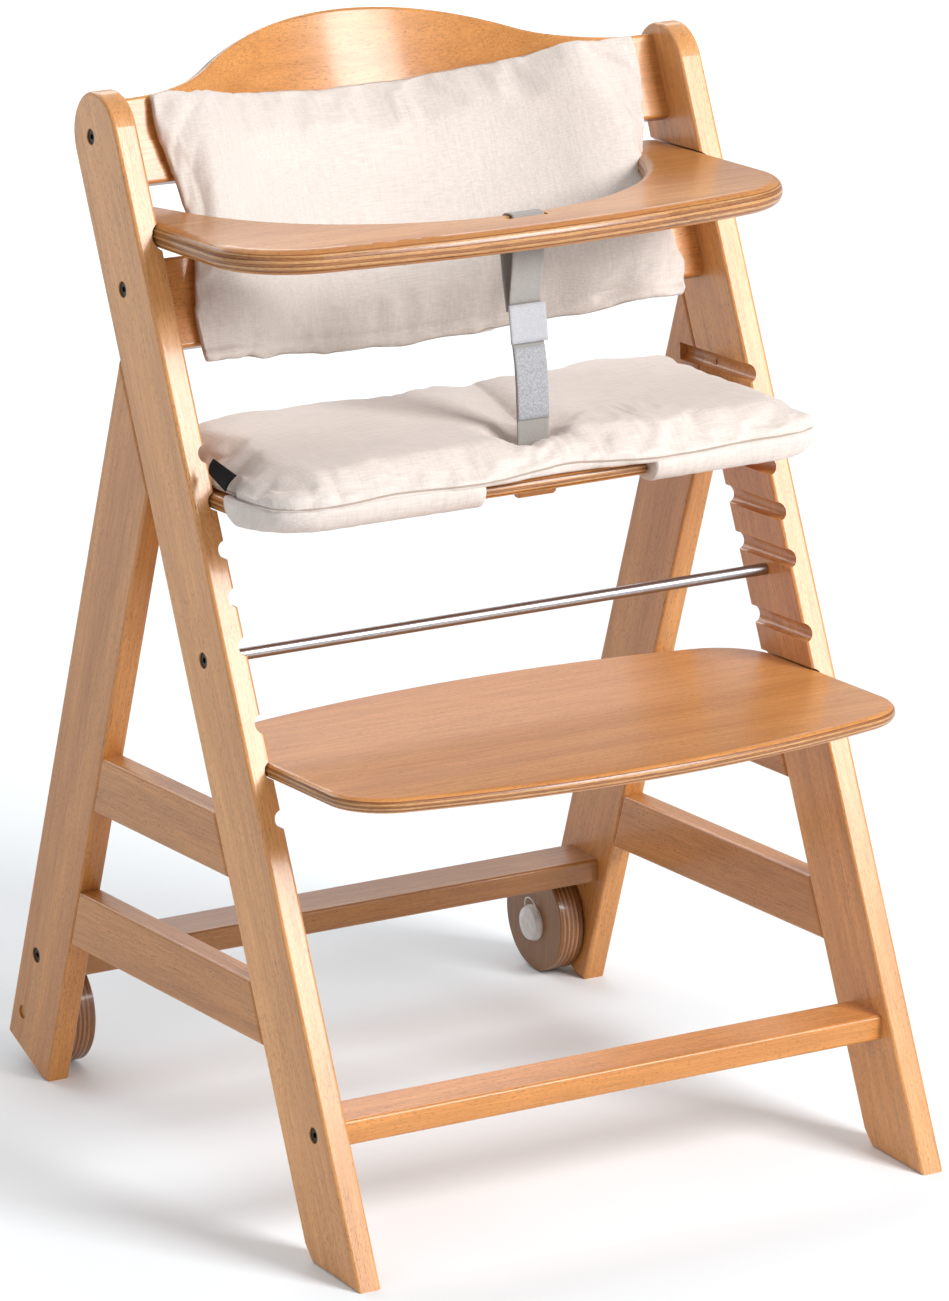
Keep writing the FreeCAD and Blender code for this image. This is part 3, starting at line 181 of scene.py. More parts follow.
def add_floor():
    """Wide pale floor disc."""
    bpy.ops.mesh.primitive_circle_add(vertices=96, radius=9.0, fill_type="NGON")
    floor = bpy.context.object
    floor.name = "floor"
    material = bpy.data.materials.new("floor")
    material.use_nodes = True
    shader = material.node_tree.nodes["Principled BSDF"]
    shader.inputs["Base Color"].default_value = (0.80, 0.84, 0.87, 1)
    shader.inputs["Roughness"].default_value = 0.85
    shader.inputs["Specular IOR Level"].default_value = 0.2
    floor.data.materials.append(material)


# ---------------- material building

HERE = (0, 0, 0)   # no shift


class Shader:
    """A node material with one Principled shader and short ways to add nodes to it."""

    def __init__(self, name):
        self.material = bpy.data.materials.new(name)
        self.material.use_nodes = True
        self.tree = self.material.node_tree
        self.principled = self.tree.nodes["Principled BSDF"]
        self.position = self.node("ShaderNodeTexCoord", {}).outputs["Object"]

    def node(self, kind, inputs, **settings):
        """New node with its inputs, by name or number, and its settings."""
        made = self.tree.nodes.new(kind)
        for key, value in settings.items():
            setattr(made, key, value)
        for key, value in inputs.items():
            self.connect(value, made.inputs[key])
        return made

    def connect(self, value, socket):
        """Link an output, or set a plain number, vector or colour."""
        if isinstance(value, bpy.types.NodeSocket):
            self.tree.links.new(value, socket)
        else:
            socket.default_value = value

    def math(self, operation, *values):
        """Result of one math node."""
        return self.node("ShaderNodeMath", dict(enumerate(values)), operation=operation).outputs[0]

    def moved(self, vector, location=(0, 0, 0), rotation=(0, 0, 0), scale=(1, 1, 1)):
        """Point mapping: scaled, then turned, then moved."""
        inputs = {"Vector": vector, "Location": location, "Rotation": rotation, "Scale": scale}
        return self.node("ShaderNodeMapping", inputs, vector_type="POINT").outputs[0]

    def split(self, vector):
        """Its x, y and z."""
        return self.node("ShaderNodeSeparateXYZ", {0: vector}).outputs

    def noise(self, vector, shift, scale, detail, roughness=0.5, distortion=0.0):
        """Noise over vector, scaled and shifted."""
        inputs = {"Vector": self.moved(vector, shift, scale=scale), "Scale": 1.0,
                  "Detail": detail, "Roughness": roughness, "Distortion": distortion}
        return self.node("ShaderNodeTexNoise", inputs).outputs["Fac"]

    def ramp(self, value, stops):
        """Colour ramp; stops are (place, colour) with colours of three numbers or one grey."""
        made = self.node("ShaderNodeValToRGB", {0: value})
        ramp = made.color_ramp
        while len(ramp.elements) < len(stops):
            ramp.elements.new(0.5)
        for element, (place, color) in zip(ramp.elements, stops):
            element.position = place
            element.color = (*color, 1) if hasattr(color, "__len__") else (color,) * 3 + (1,)
        return made.outputs["Color"]

    def mix(self, factor, first, second, blend="MIX"):
        """Mix of two colours by factor."""
        made = self.node("ShaderNodeMix", {}, data_type="RGBA", blend_type=blend)
        self.connect(factor, made.inputs["Factor"])
        for value, name in ((first, "A"), (second, "B")):
            socket = [s for s in made.inputs if s.name == name and s.type == "RGBA"][0]
            if not isinstance(value, bpy.types.NodeSocket) and len(value) == 3:
                value = (*value, 1)
            self.connect(value, socket)
        return [s for s in made.outputs if s.type == "RGBA"][0]

    def tint(self, color, tones):
        """Colour multiplied by tones."""
        return self.mix(1.0, color, tones, "MULTIPLY")

    def bump(self, height, strength, distance):
        """Surface relief from height."""
        inputs = {"Height": height, "Strength": strength, "Distance": distance}
        made = self.node("ShaderNodeBump", inputs)
        self.connect(made.outputs[0], self.principled.inputs["Normal"])

    def set(self, **values):
        """Set or link Principled inputs; underscores stand for spaces."""
        for key, value in values.items():
            if not isinstance(value, bpy.types.NodeSocket) and hasattr(value, "__len__"):
                value = (*value, 1) if len(value) == 3 else value
            self.connect(value, self.principled.inputs[key.replace("_", " ")])


def toned(color, tone):
    """Colour made lighter or darker."""
    return [value * tone for value in color]


def grain_turn(direction):
    """Euler rotation that brings the grain's direction onto local X."""
    return Vector(direction).rotation_difference(Vector((1, 0, 0))).to_euler()


def grain_color(shader, along, light, dark, seed, bands=1.0):
    """Colour of lacquered beech: soft bands, fine fibres and short dark flecks along X."""
    shift = (seed * 1.37, seed * 0.71, seed * 2.13)
    broad = shader.noise(along, shift, (2.2, 26, 26), 3.0, 0.55, 0.6)
    color = shader.ramp(broad, ((0.30, dark), (0.72, light)))
    figure = shader.noise(along, shift, (5, 120, 120), 4.0, 0.6, 0.4)
    figure = shader.ramp(figure, ((0.35, 1.0 - 0.13 * bands), (0.65, 1.0)))
    color = shader.tint(color, figure)
    fibre = shader.noise(along, shift, (30, 800, 800), 2.0, 0.6)
    color = shader.tint(color, shader.ramp(fibre, ((0.3, 0.83), (0.7, 1.07))))
    dashes = shader.noise(along, shift, (270, 1500, 1500), 1.0, 0.5)
    patches = shader.noise(along, shift, (14, 40, 40), 2.0, 0.5)
    amount = shader.math("MULTIPLY", shader.ramp(dashes, ((0.57, 0.0), (0.68, 1.0))),
                         shader.ramp(patches, ((0.35, 0.45), (0.65, 1.0))))
    color = shader.mix(shader.math("MULTIPLY", amount, 0.62), color, BEECH_FLECK)
    return color, fibre


def lacquer(shader, height, roughness=0.42):
    """Satin clear lacquer over the grain."""
    shader.set(Specular_IOR_Level=0.40, Coat_Weight=0.35, Coat_Roughness=0.15)
    rough = shader.ramp(height, ((0.3, roughness + 0.05), (0.7, roughness - 0.05)))
    shader.set(Roughness=rough)
    shader.bump(height, 0.10, 0.0004)


def beech(name, direction, seed, tone=1.0, pale=0.0):
    """Solid beech with its grain along direction; pale is the share of painted highlight colour
    mixed in to lighten it.
    """
    shader = Shader(name)
    along = shader.moved(shader.position, rotation=grain_turn(direction))
    light, dark = ([value * tone * (1 - pale) + highlight * pale * share
                    for value, highlight in zip(color, BEECH_PAINTED_HIGHLIGHT)]
                   for color, share in ((BEECH_LIGHT, 1.0), (BEECH_DARK, 0.8)))
    color, fibre = grain_color(shader, along, light, dark, seed)
    shader.set(Base_Color=color)
    lacquer(shader, fibre)
    return shader.material


def ply_layers(shader, depth, half, layer, along, seed):
    """Colour through a plywood's thickness: face veneers outside, crossed layers between.

    depth runs from -half to half through the sheet.  Returns the colour of the open edge and
    how far a point lies inside it.
    """
    shift = (seed * 0.9, seed * 0.4, 0)
    wave = shader.noise(along, shift, (9, 9, 9), 2.0, 0.5)
    wobble = shader.math("MULTIPLY_ADD", wave, layer * 0.9, shader.math("ADD", depth, half))
    count = shader.math("DIVIDE", wobble, layer)
    index = shader.math("FLOOR", count)
    part = shader.math("FRACT", count)
    odd = shader.math("PINGPONG", index, 1.0)
    streak = shader.noise(along, shift, (40, 40, 2600), 3.0, 0.65)
    pores = shader.noise(along, shift, (260, 260, 3400), 2.0, 0.6)
    light = shader.ramp(streak, ((0.30, PLY_LIGHT), (0.66, PLY_CREAM)))
    dark = shader.ramp(streak, ((0.34, PLY_DARK), (0.70, PLY_LIGHT)))
    color = shader.mix(odd, light, dark)
    color = shader.tint(color, shader.ramp(pores, ((0.34, 0.62), (0.52, 1.0))))
    patchy = shader.noise(along, shift, (30, 30, 1500), 2.0, 0.6)
    glue = shader.math("MULTIPLY", shader.math("LESS_THAN", part, 0.21),
                       shader.ramp(patchy, ((0.40, 0.0), (0.62, 0.9))))
    color = shader.mix(glue, color, PLY_GLUE)
    under_face = shader.math("GREATER_THAN", shader.math("ABSOLUTE", depth), half - layer * 1.35)
    color = shader.mix(shader.math("MULTIPLY", under_face, 0.75), color, PLY_DARK)
    inside = shader.math("LESS_THAN", shader.math("ABSOLUTE", depth), half - layer)
    return color, inside


def plywood(name, node, layer, seed, tone=1.0):
    """Plywood board on the slope: face veneer with grain along X and open layered edges."""
    depth, level, half = board_middle(node)
    shader = Shader(name)
    local = shader.moved(shader.position, location=(0, -depth, -level))
    local = shader.moved(local, rotation=(SLOPE, 0, 0))
    light, dark = toned(BEECH_LIGHT, tone), toned(BEECH_DARK, tone * 1.06)
    face, fibre = grain_color(shader, local, light, dark, seed, 0.7)
    edge, inside = ply_layers(shader, shader.split(local)[2], half, layer, local, seed)
    shader.set(Base_Color=shader.mix(inside, face, edge))
    lacquer(shader, fibre, 0.38)
    return shader.material


def bow_depth(shader, x, y):
    """Depth below the front face of a bowed back board: flat ends, blend arcs, main arc."""
    reach = (BACK_FLAT ** 2 + BACK_BOW ** 2) / (2 * BACK_BOW)
    main = reach - BACK_BLEND

    def length(first, second):
        squares = [shader.math("MULTIPLY", value, value) for value in (first, second)]
        return shader.math("SQRT", shader.math("ADD", *squares))

    def choose(switch, off, on):
        off = shader.math("MULTIPLY", off, shader.math("SUBTRACT", 1.0, switch))
        return shader.math("ADD", off, shader.math("MULTIPLY", on, switch))

    across = shader.math("ABSOLUTE", x)
    in_main = shader.math("SUBTRACT",
                          length(x, shader.math("SUBTRACT", y, BACK_BOW - main)), main)
    blend_way = length(shader.math("SUBTRACT", across, BACK_FLAT),
                       shader.math("SUBTRACT", BACK_BLEND, y))
    in_blend = shader.math("SUBTRACT", BACK_BLEND, blend_way)
    at_main = shader.math("LESS_THAN", across, BACK_FLAT * main / reach)
    at_flat = shader.math("GREATER_THAN", across, BACK_FLAT)
    return choose(at_flat, choose(at_main, in_blend, in_main), y)


def bent_plywood(name, seed, tone=1.0):
    """Bowed back board: face veneer with grain along X, layers that follow the bow."""
    shader = Shader(name)
    local = shader.moved(shader.position, location=-BACK_BASE)
    local = shader.moved(local, rotation=(LEAN, 0, 0))
    light, dark = toned(BEECH_LIGHT, tone), toned(BEECH_DARK, tone)
    face, fibre = grain_color(shader, local, light, dark, seed, 0.8)
    x, y = shader.split(local)[:2]
    half = BACK_THICKNESS / 2
    middle = shader.math("SUBTRACT", bow_depth(shader, x, y), half)
    edge, inside = ply_layers(shader, middle, half, 0.00155, local, seed)
    shader.set(Base_Color=shader.mix(inside, face, edge))
    lacquer(shader, fibre, 0.36)
    return shader.material


def wheel_plywood(name, node, seed):
    """Wheel cut from thick plywood, with its layers across the axle."""
    low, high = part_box(node)
    shader = Shader(name)
    local = shader.moved(shader.position, location=(-(low.x + high.x) / 2, 0, 0))
    # painted shade: the wheel's colours are darkened to stand in for the shade on it
    light, dark = toned(BEECH_LIGHT, WHEEL_SHADE_TONE), toned(BEECH_DARK, WHEEL_SHADE_TONE)
    turned = shader.moved(local, rotation=(0, math.pi / 2, 0))
    face, fibre = grain_color(shader, turned, light, dark, seed)
    edge, inside = ply_layers(shader, shader.split(local)[0], (high.x - low.x) / 2, 0.0018,
                              turned, seed)
    edge = shader.tint(edge, (0.62, 0.58, 0.55))
    shader.set(Base_Color=shader.mix(inside, face, edge))
    lacquer(shader, fibre, 0.45)
    return shader.material


def steel(name, color, roughness):
    """Metal with faint draw marks along X."""
    shader = Shader(name)
    marks = shader.noise(shader.position, HERE, (12, 4000, 4000), 2.0, 0.5)
    tone = shader.ramp(marks, ((0.3, toned(color, 0.85)), (0.7, color)))
    shader.set(Base_Color=tone, Metallic=1.0)
    shader.set(Roughness=shader.ramp(marks, ((0.3, roughness + 0.06), (0.7, roughness - 0.04))))
    shader.bump(marks, 0.05, 0.0002)
    return shader.material


def cap_plastic(name):
    """Cloudy, slightly see-through white plastic."""
    shader = Shader(name)
    cloud = shader.noise(shader.position, HERE, (180, 180, 180), 2.0, 0.5)
    shader.set(Base_Color=shader.ramp(cloud, ((0.3, CAP_SHADE), (0.7, CAP_LIGHT))))
    shader.set(Roughness=0.32, Subsurface_Weight=0.35, Transmission_Weight=0.12)
    shader.principled.inputs["Subsurface Radius"].default_value = (0.004, 0.004, 0.004)
    return shader.material


def weave(shader, u, v, thread):
    """Plain weave height from two crossed wave sets of one thread spacing."""
    first = shader.math("SINE", shader.math("MULTIPLY", u, 2 * math.pi / thread))
    second = shader.math("SINE", shader.math("MULTIPLY", v, 2 * math.pi / thread))
    both = shader.math("MULTIPLY", first, second)
    return shader.math("MULTIPLY_ADD", both, 0.5, 0.5)


def linen(name, rotation, color, seed):
    """Linen-look cotton: plain weave with slubs along both thread directions."""
    shader = Shader(name)
    local = shader.moved(shader.position, rotation=rotation)
    x, y, z = shader.split(local)
    cloth = weave(shader, x, shader.math("ADD", y, z), 0.0011)
    slub_across = shader.noise(local, (seed, 0, 0), (55, 900, 900), 2.0, 0.55)
    slub_up = shader.noise(local, (0, seed, 0), (900, 60, 60), 2.0, 0.55)
    cloud = shader.noise(local, (0, 0, seed), (16, 16, 16), 3.0, 0.5)
    tone = shader.ramp(cloud, ((0.3, toned(color, 0.95)), (0.7, color)))
    streak = shader.math("MULTIPLY_ADD", slub_across, 0.6, shader.math("MULTIPLY", slub_up, 0.4))
    tone = shader.tint(tone, shader.ramp(streak, ((0.32, 0.86), (0.62, 1.04))))
    tone = shader.tint(tone, shader.ramp(cloth, ((0.0, 0.90), (0.6, 1.0))))
    shader.set(Base_Color=tone, Roughness=0.92, Specular_IOR_Level=0.25)
    shader.set(Sheen_Weight=0.35, Sheen_Roughness=0.5)
    height = shader.math("ADD", shader.math("MULTIPLY", cloth, 0.5), streak)
    shader.bump(height, 0.35, 0.0006)
    return shader.material


def webbing(name, color, rib=0.0014, sheen=0.25):
    """Flat woven tape with ribs across X and a diagonal twill."""
    shader = Shader(name)
    x, y, z = shader.split(shader.position)
    down = shader.math("SUBTRACT", z, shader.math("MULTIPLY", y, 0.2))
    twill = weave(shader, shader.math("ADD", x, down), shader.math("SUBTRACT", x, down), rib)
    fuzz = shader.noise(shader.position, HERE, (900, 900, 900), 2.0, 0.6)
    tone = shader.tint(color, shader.ramp(twill, ((0.0, 0.66), (0.8, 1.12))))
    tone = shader.tint(tone, shader.ramp(fuzz, ((0.3, 0.90), (0.7, 1.06))))
    shader.set(Base_Color=tone, Roughness=0.78, Sheen_Weight=sheen, Specular_IOR_Level=0.2)
    shader.bump(shader.math("ADD", twill, fuzz), 0.5, 0.0005)
    return shader.material


def fuzzy_tape(name, color, fineness=1500, contrast=0.20):
    """Hook-and-loop tape: a dense short pile."""
    shader = Shader(name)
    pile = shader.noise(shader.position, HERE, (fineness,) * 3, 3.0, 0.7)
    tones = shader.ramp(pile, ((0.35, 1.0 - contrast), (0.65, 1.0 + contrast / 2)))
    tone = shader.tint(color, tones)
    shader.set(Base_Color=tone, Roughness=0.85, Sheen_Weight=0.5, Specular_IOR_Level=0.3)
    shader.bump(pile, 0.6, 0.0006)
    return shader.material


# ---------------- materials on the CAD nodes

def paint(node, material):
    """Give a CAD node its material."""
    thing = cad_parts[node]
    for slot in thing.material_slots:
        slot.material = material


def paint_frame():
    """Wood, steel and plastic on the CAD nodes."""
    leg = (0, -math.sin(LEG_LEAN), math.cos(LEG_LEAN))
    rail = (0, math.cos(SLOPE), -math.sin(SLOPE))
    across = (1, 0, 0)
    # painted highlight: the uprights' raised tone and pale share stand in for the bright light on
    # their front faces
    woods = (("upright_", "beech_upright_", UP_LEAN, 1, 1.08, 0.30),
             ("rear_leg_", "beech_leg_", leg, 3, 0.90, 0.0),
             ("upper_side_rail_", "beech_upper_rail_", rail, 5, 0.86, 0.0),
             ("lower_side_rail_", "beech_lower_rail_", rail, 7, 0.88, 0.0),
             ("axle_plug_", "beech_plug_", across, 11, 0.85, 0.0))
    for number, side in enumerate(("left", "right")):
        for node, name, direction, seed, tone, pale in woods:
            paint(node + side, beech(name + side, direction, seed + number, tone, pale))
        paint("wheel_" + side, wheel_plywood("wheel_ply_" + side, "wheel_" + side, 20 + number))
        paint("hub_cap_" + side, cap_plastic("cap_plastic_" + side))
        paint("wheel_axle_" + side, steel("axle_steel_" + side, AXLE_STEEL, 0.3))
        paint("wheel_washer_" + side, steel("washer_steel_" + side, WASHER_STEEL, 0.35))
    paint("front_cross_bar", beech("beech_front_bar", across, 13, 1.05))
    # painted shade: the rear bar's low tone stands in for the shade at the chair's back
    paint("rear_cross_bar", beech("beech_rear_bar", across, 14, 0.56))
    paint("top_back_board", bent_plywood("ply_top_back", 15))
    paint("lower_back_board", bent_plywood("ply_lower_back", 16, 1.1))
    paint("seat_board", plywood("ply_seat", "seat_board", 0.0015, 17))
    paint("footboard", plywood("ply_footboard", "footboard", 0.0015, 18))
    paint("tray", plywood("ply_tray", "tray", 0.0022, 19, 0.86))
    paint("clamping_rod", steel("rod_steel", ROD_STEEL, 0.34))
    bolt_steel = steel("bolt_steel", BOLT_STEEL, 0.38)
    for node in ("back_board_bolts", "cross_bar_bolts", "rod_bolts"):
        paint(node, bolt_steel)
    for node in ("barrel_nuts", "threaded_inserts"):
        paint(node, steel(node + "_steel", NUT_STEEL, 0.35))
    for node in ("frame_dowels", "locating_dowels", "strap_retainer"):
        paint(node, beech("beech_" + node, across, 21, 0.9))


# ---------------- helpers for the soft pieces

def smooth(low, high, value):
    """Soft step from 0 at low to 1 at high."""
    share = min(max((value - low) / (high - low), 0.0), 1.0)
    return share * share * (3 - 2 * share)


def hump(value, middle, width):
    """Bell of height 1 round middle."""
    return math.exp(-((value - middle) / width) ** 2)


def wander(x, y=0.0, seed=0.0):
    """Smooth random value of about -1 to 1."""
    return noise.noise(Vector((x, y, seed)))


def mesh_object(name, vertices, faces):
    """New object from plain mesh data."""
    mesh = bpy.data.meshes.new(name)
    mesh.from_pydata(vertices, [], faces)
    mesh.update()
    piece = bpy.data.objects.new(name, mesh)
    bpy.context.scene.collection.objects.link(piece)
    return piece


def bake(piece):
    """Apply the modifiers to the mesh."""
    graph = bpy.context.evaluated_depsgraph_get()
    mesh = bpy.data.meshes.new_from_object(piece.evaluated_get(graph))
    piece.modifiers.clear()
    piece.data = mesh


def pillow(name, place, low, high, columns, rows):
    """Closed pad over the square -1..1: place(s, t) is (x, y), low and high(s, t) its levels."""
    vertices, faces = [], []
    sides = []
    for level in (lambda s, t: low, high):
        grid = {}
        for i in range(columns + 1):
            for j in range(rows + 1):
                s, t = 2 * i / columns - 1, 2 * j / rows - 1
                x, y = place(s, t)
                grid[i, j] = len(vertices)
                vertices.append((x, y, level(s, t)))
        sides.append(grid)
    for grid, flip in zip(sides, (True, False)):
        for i in range(columns):
            for j in range(rows):
                ring = [grid[i, j], grid[i + 1, j], grid[i + 1, j + 1], grid[i, j + 1]]
                faces.append(ring[::-1] if flip else ring)
    rim = [(i, 0) for i in range(columns)] + [(columns, j) for j in range(rows)]
    rim += [(i, rows) for i in range(columns, 0, -1)] + [(0, j) for j in range(rows, 0, -1)]
    under, over = sides
    for a, b in zip(rim, rim[1:] + rim[:1]):
        faces.append((under[a], under[b], over[b], over[a]))
    return mesh_object(name, vertices, faces)


def cut_hole(piece, x, y, half_x, half_y):
    """Cut an oblong hole for a strap through a pad."""
    bpy.ops.mesh.primitive_cylinder_add(vertices=24, radius=1.0, depth=0.2, location=(x, y, 0))
    cutter = bpy.context.object
    for vertex in cutter.data.vertices:
        side = 1 if vertex.co.x > 0 else -1
        vertex.co.x = vertex.co.x * half_y + side * (half_x - half_y)
        vertex.co.y *= half_y
    modifier = piece.modifiers.new("hole", "BOOLEAN")
    modifier.operation = "DIFFERENCE"
    modifier.object = cutter
    modifier.solver = "EXACT"
    bake(piece)
    bpy.data.objects.remove(cutter)


CLOTH_MESH = 0.0042    # spacing of the simulated fabric's mesh
CLOTH_FRAMES = 20


def puff(piece, hold, cap, floor, spare):
    """Fill a pad like a cushion by cloth simulation.

    hold(point) is 1 where the fabric is sewn or lies on something.  cap limits how far a point
    moves, floor is the lowest level, and spare is the share of fabric beyond the flat pad's.
    """
    remesh = piece.modifiers.new("remesh", "REMESH")
    remesh.mode = "VOXEL"
    remesh.voxel_size = CLOTH_MESH
    bake(piece)
    start = [vertex.co.copy() for vertex in piece.data.vertices]
    pins = piece.vertex_groups.new(name="pins")
    for index, point in enumerate(start):
        pins.add([index], hold(point), "REPLACE")
    cloth = piece.modifiers.new("cloth", "CLOTH")
    settings = cloth.settings
    settings.quality = 6
    settings.mass = 0.25
    settings.tension_stiffness = 12
    settings.compression_stiffness = 12
    settings.shear_stiffness = 4
    settings.bending_stiffness = 0.12
    settings.use_pressure = True
    settings.uniform_pressure_force = 4.0
    settings.vertex_group_mass = "pins"
    settings.pin_stiffness = 1.0
    settings.shrink_min = -spare
    settings.effector_weights.gravity = 0
    scene = bpy.context.scene
    for number in range(1, CLOTH_FRAMES + 1):
        scene.frame_set(number)
    graph = bpy.context.evaluated_depsgraph_get()
    after = [vertex.co.copy() for vertex in piece.evaluated_get(graph).data.vertices]
    piece.modifiers.clear()
    piece.vertex_groups.clear()
    scene.frame_set(1)
    for vertex, before, now in zip(piece.data.vertices, start, after):
        step = now - before
        if step.length > cap:
            step *= cap / step.length
        vertex.co = before + step
        vertex.co.z = max(vertex.co.z, floor)


def dress(piece, material, slot, *nodes):
    """Smooth shading and material, and hides the CAD nodes that the piece stands for; slot is not
    used.
    """
    for face in piece.data.polygons:
        face.use_smooth = True
    piece.data.materials.clear()
    piece.data.materials.append(material)
    if nodes:
        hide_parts(*nodes)


def finish_soft(piece, change, material, body, slot, *nodes):
    """One subdivision, the seams and folds of change, then the material, the body it rides on and
    the hidden CAD nodes.
    """
    surface = piece.modifiers.new("surface", "SUBSURF")
    surface.levels = 1
    surface.render_levels = 1
    bake(piece)
    normals = [vertex.normal.copy() for vertex in piece.data.vertices]
    for vertex, normal in zip(piece.data.vertices, normals):
        vertex.co = change(vertex.co, normal)
    piece.data.update()
    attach(piece, body)
    dress(piece, material, slot, *nodes)


def loft(name, vertices, ring, closed=False):
    """Object from rings of vertices, closed into a loop or capped at both ends."""
    count = len(vertices) // ring
    faces = []
    for i in range(count if closed else count - 1):
        for k in range(ring):
            a, b = i * ring, (i + 1) % count * ring
            faces.append((a + k, a + (k + 1) % ring, b + (k + 1) % ring, b + k))
    if not closed:
        faces.append(tuple(range(ring))[::-1])
        faces.append(tuple(range((count - 1) * ring, count * ring)))
    return mesh_object(name, vertices, faces)


def tube(name, points, radius, sides=8, closed=False):
    """Thin round thread or wire through points."""
    vertices = []
    count = len(points)
    for i, point in enumerate(points):
        before = points[i - 1] if i or closed else points[0]
        after = points[(i + 1) % count] if i + 1 < count or closed else points[-1]
        ahead = (after - before).normalized()
        side = ahead.cross(Vector((0.13, 0.21, 0.97))).normalized()
        up = side.cross(ahead)
        for k in range(sides):
            turn = 2 * math.pi * k / sides
            vertices.append(point + radius * (math.cos(turn) * side + math.sin(turn) * up))
    return loft(name, vertices, sides, closed)


# ---------------- seat cushion

SEAT_RUN = (SEAT_HIGH.y - SEAT_LOW.y) / 2 / math.cos(SLOPE)   # half the seat board's depth


def on_seat(point):
    """Row frame place of (across, behind the board's front edge, above its middle plane)."""
    along, up = point[1] - SEAT_RUN, point[2]
    return Vector((point[0], SEAT_DEPTH + along * math.cos(SLOPE) + up * math.sin(SLOPE),
                   SEAT_LEVEL - along * math.sin(SLOPE) + up * math.cos(SLOPE)))


SEAT_PAD_REAR = 0.210     # the cushion's rear edge behind the board's front edge
SEAT_PAD_WIDE = 0.2195    # half width in front of the uprights
SEAT_PAD_NARROW = 0.2145  # half width between the uprights
SEAT_PAD_STEP = 0.055     # where the width changes
SEAT_OVERHANG = 0.015     # about how far the cushion stands out in front of the board
SEAT_SEAM = 0.0100        # level of the cushion's seam above the board's middle plane
SEAT_REST = 0.0058        # level of the cushion's underside
STRAP_PLACE = 0.0322      # strap slot behind the board's front edge
STRAP_SIDE = 0.0020       # the strap hangs a little to the right
SEAM_NICKS = (-0.192, -0.172)   # two stitches that pull the front seam in, on the left


def seat_rim_front(x):
    """How far the seam runs in front of the board's edge, along the width."""
    edge = -0.0140 + 0.0085 * hump(x, 0.005, 0.045) - 0.0020 * hump(x, 0.078, 0.025)
    return edge + 0.0060 * hump(x, 0.160, 0.050) + 0.0035 * hump(x, -0.125, 0.040)


def seat_seam_level(x, y):
    """Height of the seam: lifted over the bare stretch of board and nicked near the left."""
    near = smooth(0.05, 0.0, y)
    lift = 0.0032 * hump(x, 0.010, 0.040) + 0.0016 * hump(x, -0.125, 0.035)
    nick = 0.0010 * sum(hump(x, place, 0.004) for place in SEAM_NICKS)
    return SEAT_SEAM + near * (lift - nick + 0.0007 * wander(x * 40, y * 40, 3.1))


def seat_place(s, t):
    """(across, behind the board's front edge) for a place on the pillow's square."""
    x = s * (1 - 0.055 * abs(t) ** 11)
    taper = smooth(0.062, 0.082, 0.5 * (t + 1) * SEAT_PAD_REAR)
    x *= SEAT_PAD_WIDE - (SEAT_PAD_WIDE - SEAT_PAD_NARROW) * taper
    front = seat_rim_front(x)
    depth = (SEAT_PAD_REAR - front) / 2 * (1 - 0.10 * abs(s) ** 11)
    middle = (SEAT_PAD_REAR + front) / 2
    y = middle + t * depth
    if y > SEAT_PAD_STEP:
        x = max(min(x, SEAT_PAD_NARROW), -SEAT_PAD_NARROW)
    return x, y


def seat_high(s, t):
    """Level of the cushion's top before it is filled: domed, fuller at the rear."""
    x, y = seat_place(s, t)
    dome = (1 - abs(s) ** 9) * (1 - abs(t) ** 6)
    rear = smooth(-0.6, 0.5, t) * (0.0050 + 0.0012 * s)
    return seat_seam_level(x, y) + 0.0035 + (0.0140 + rear) * max(dome, 0.0) ** 0.5


def seat_hold(point):
    """1 on the underside, round the strap's hole and along the seam."""
    x, y, z = point
    if z < SEAT_REST + 0.0015:
        return 1.0
    if abs(x) < 0.020 and abs(y - STRAP_PLACE) < 0.009:
        return 1.0
    half = SEAT_PAD_WIDE if y < SEAT_PAD_STEP else SEAT_PAD_NARROW
    rim = min(half - abs(x), y - seat_rim_front(x), SEAT_PAD_REAR - y)
    return 1.0 if rim < 0.0040 and z < seat_seam_level(x, y) + 0.0012 else 0.0


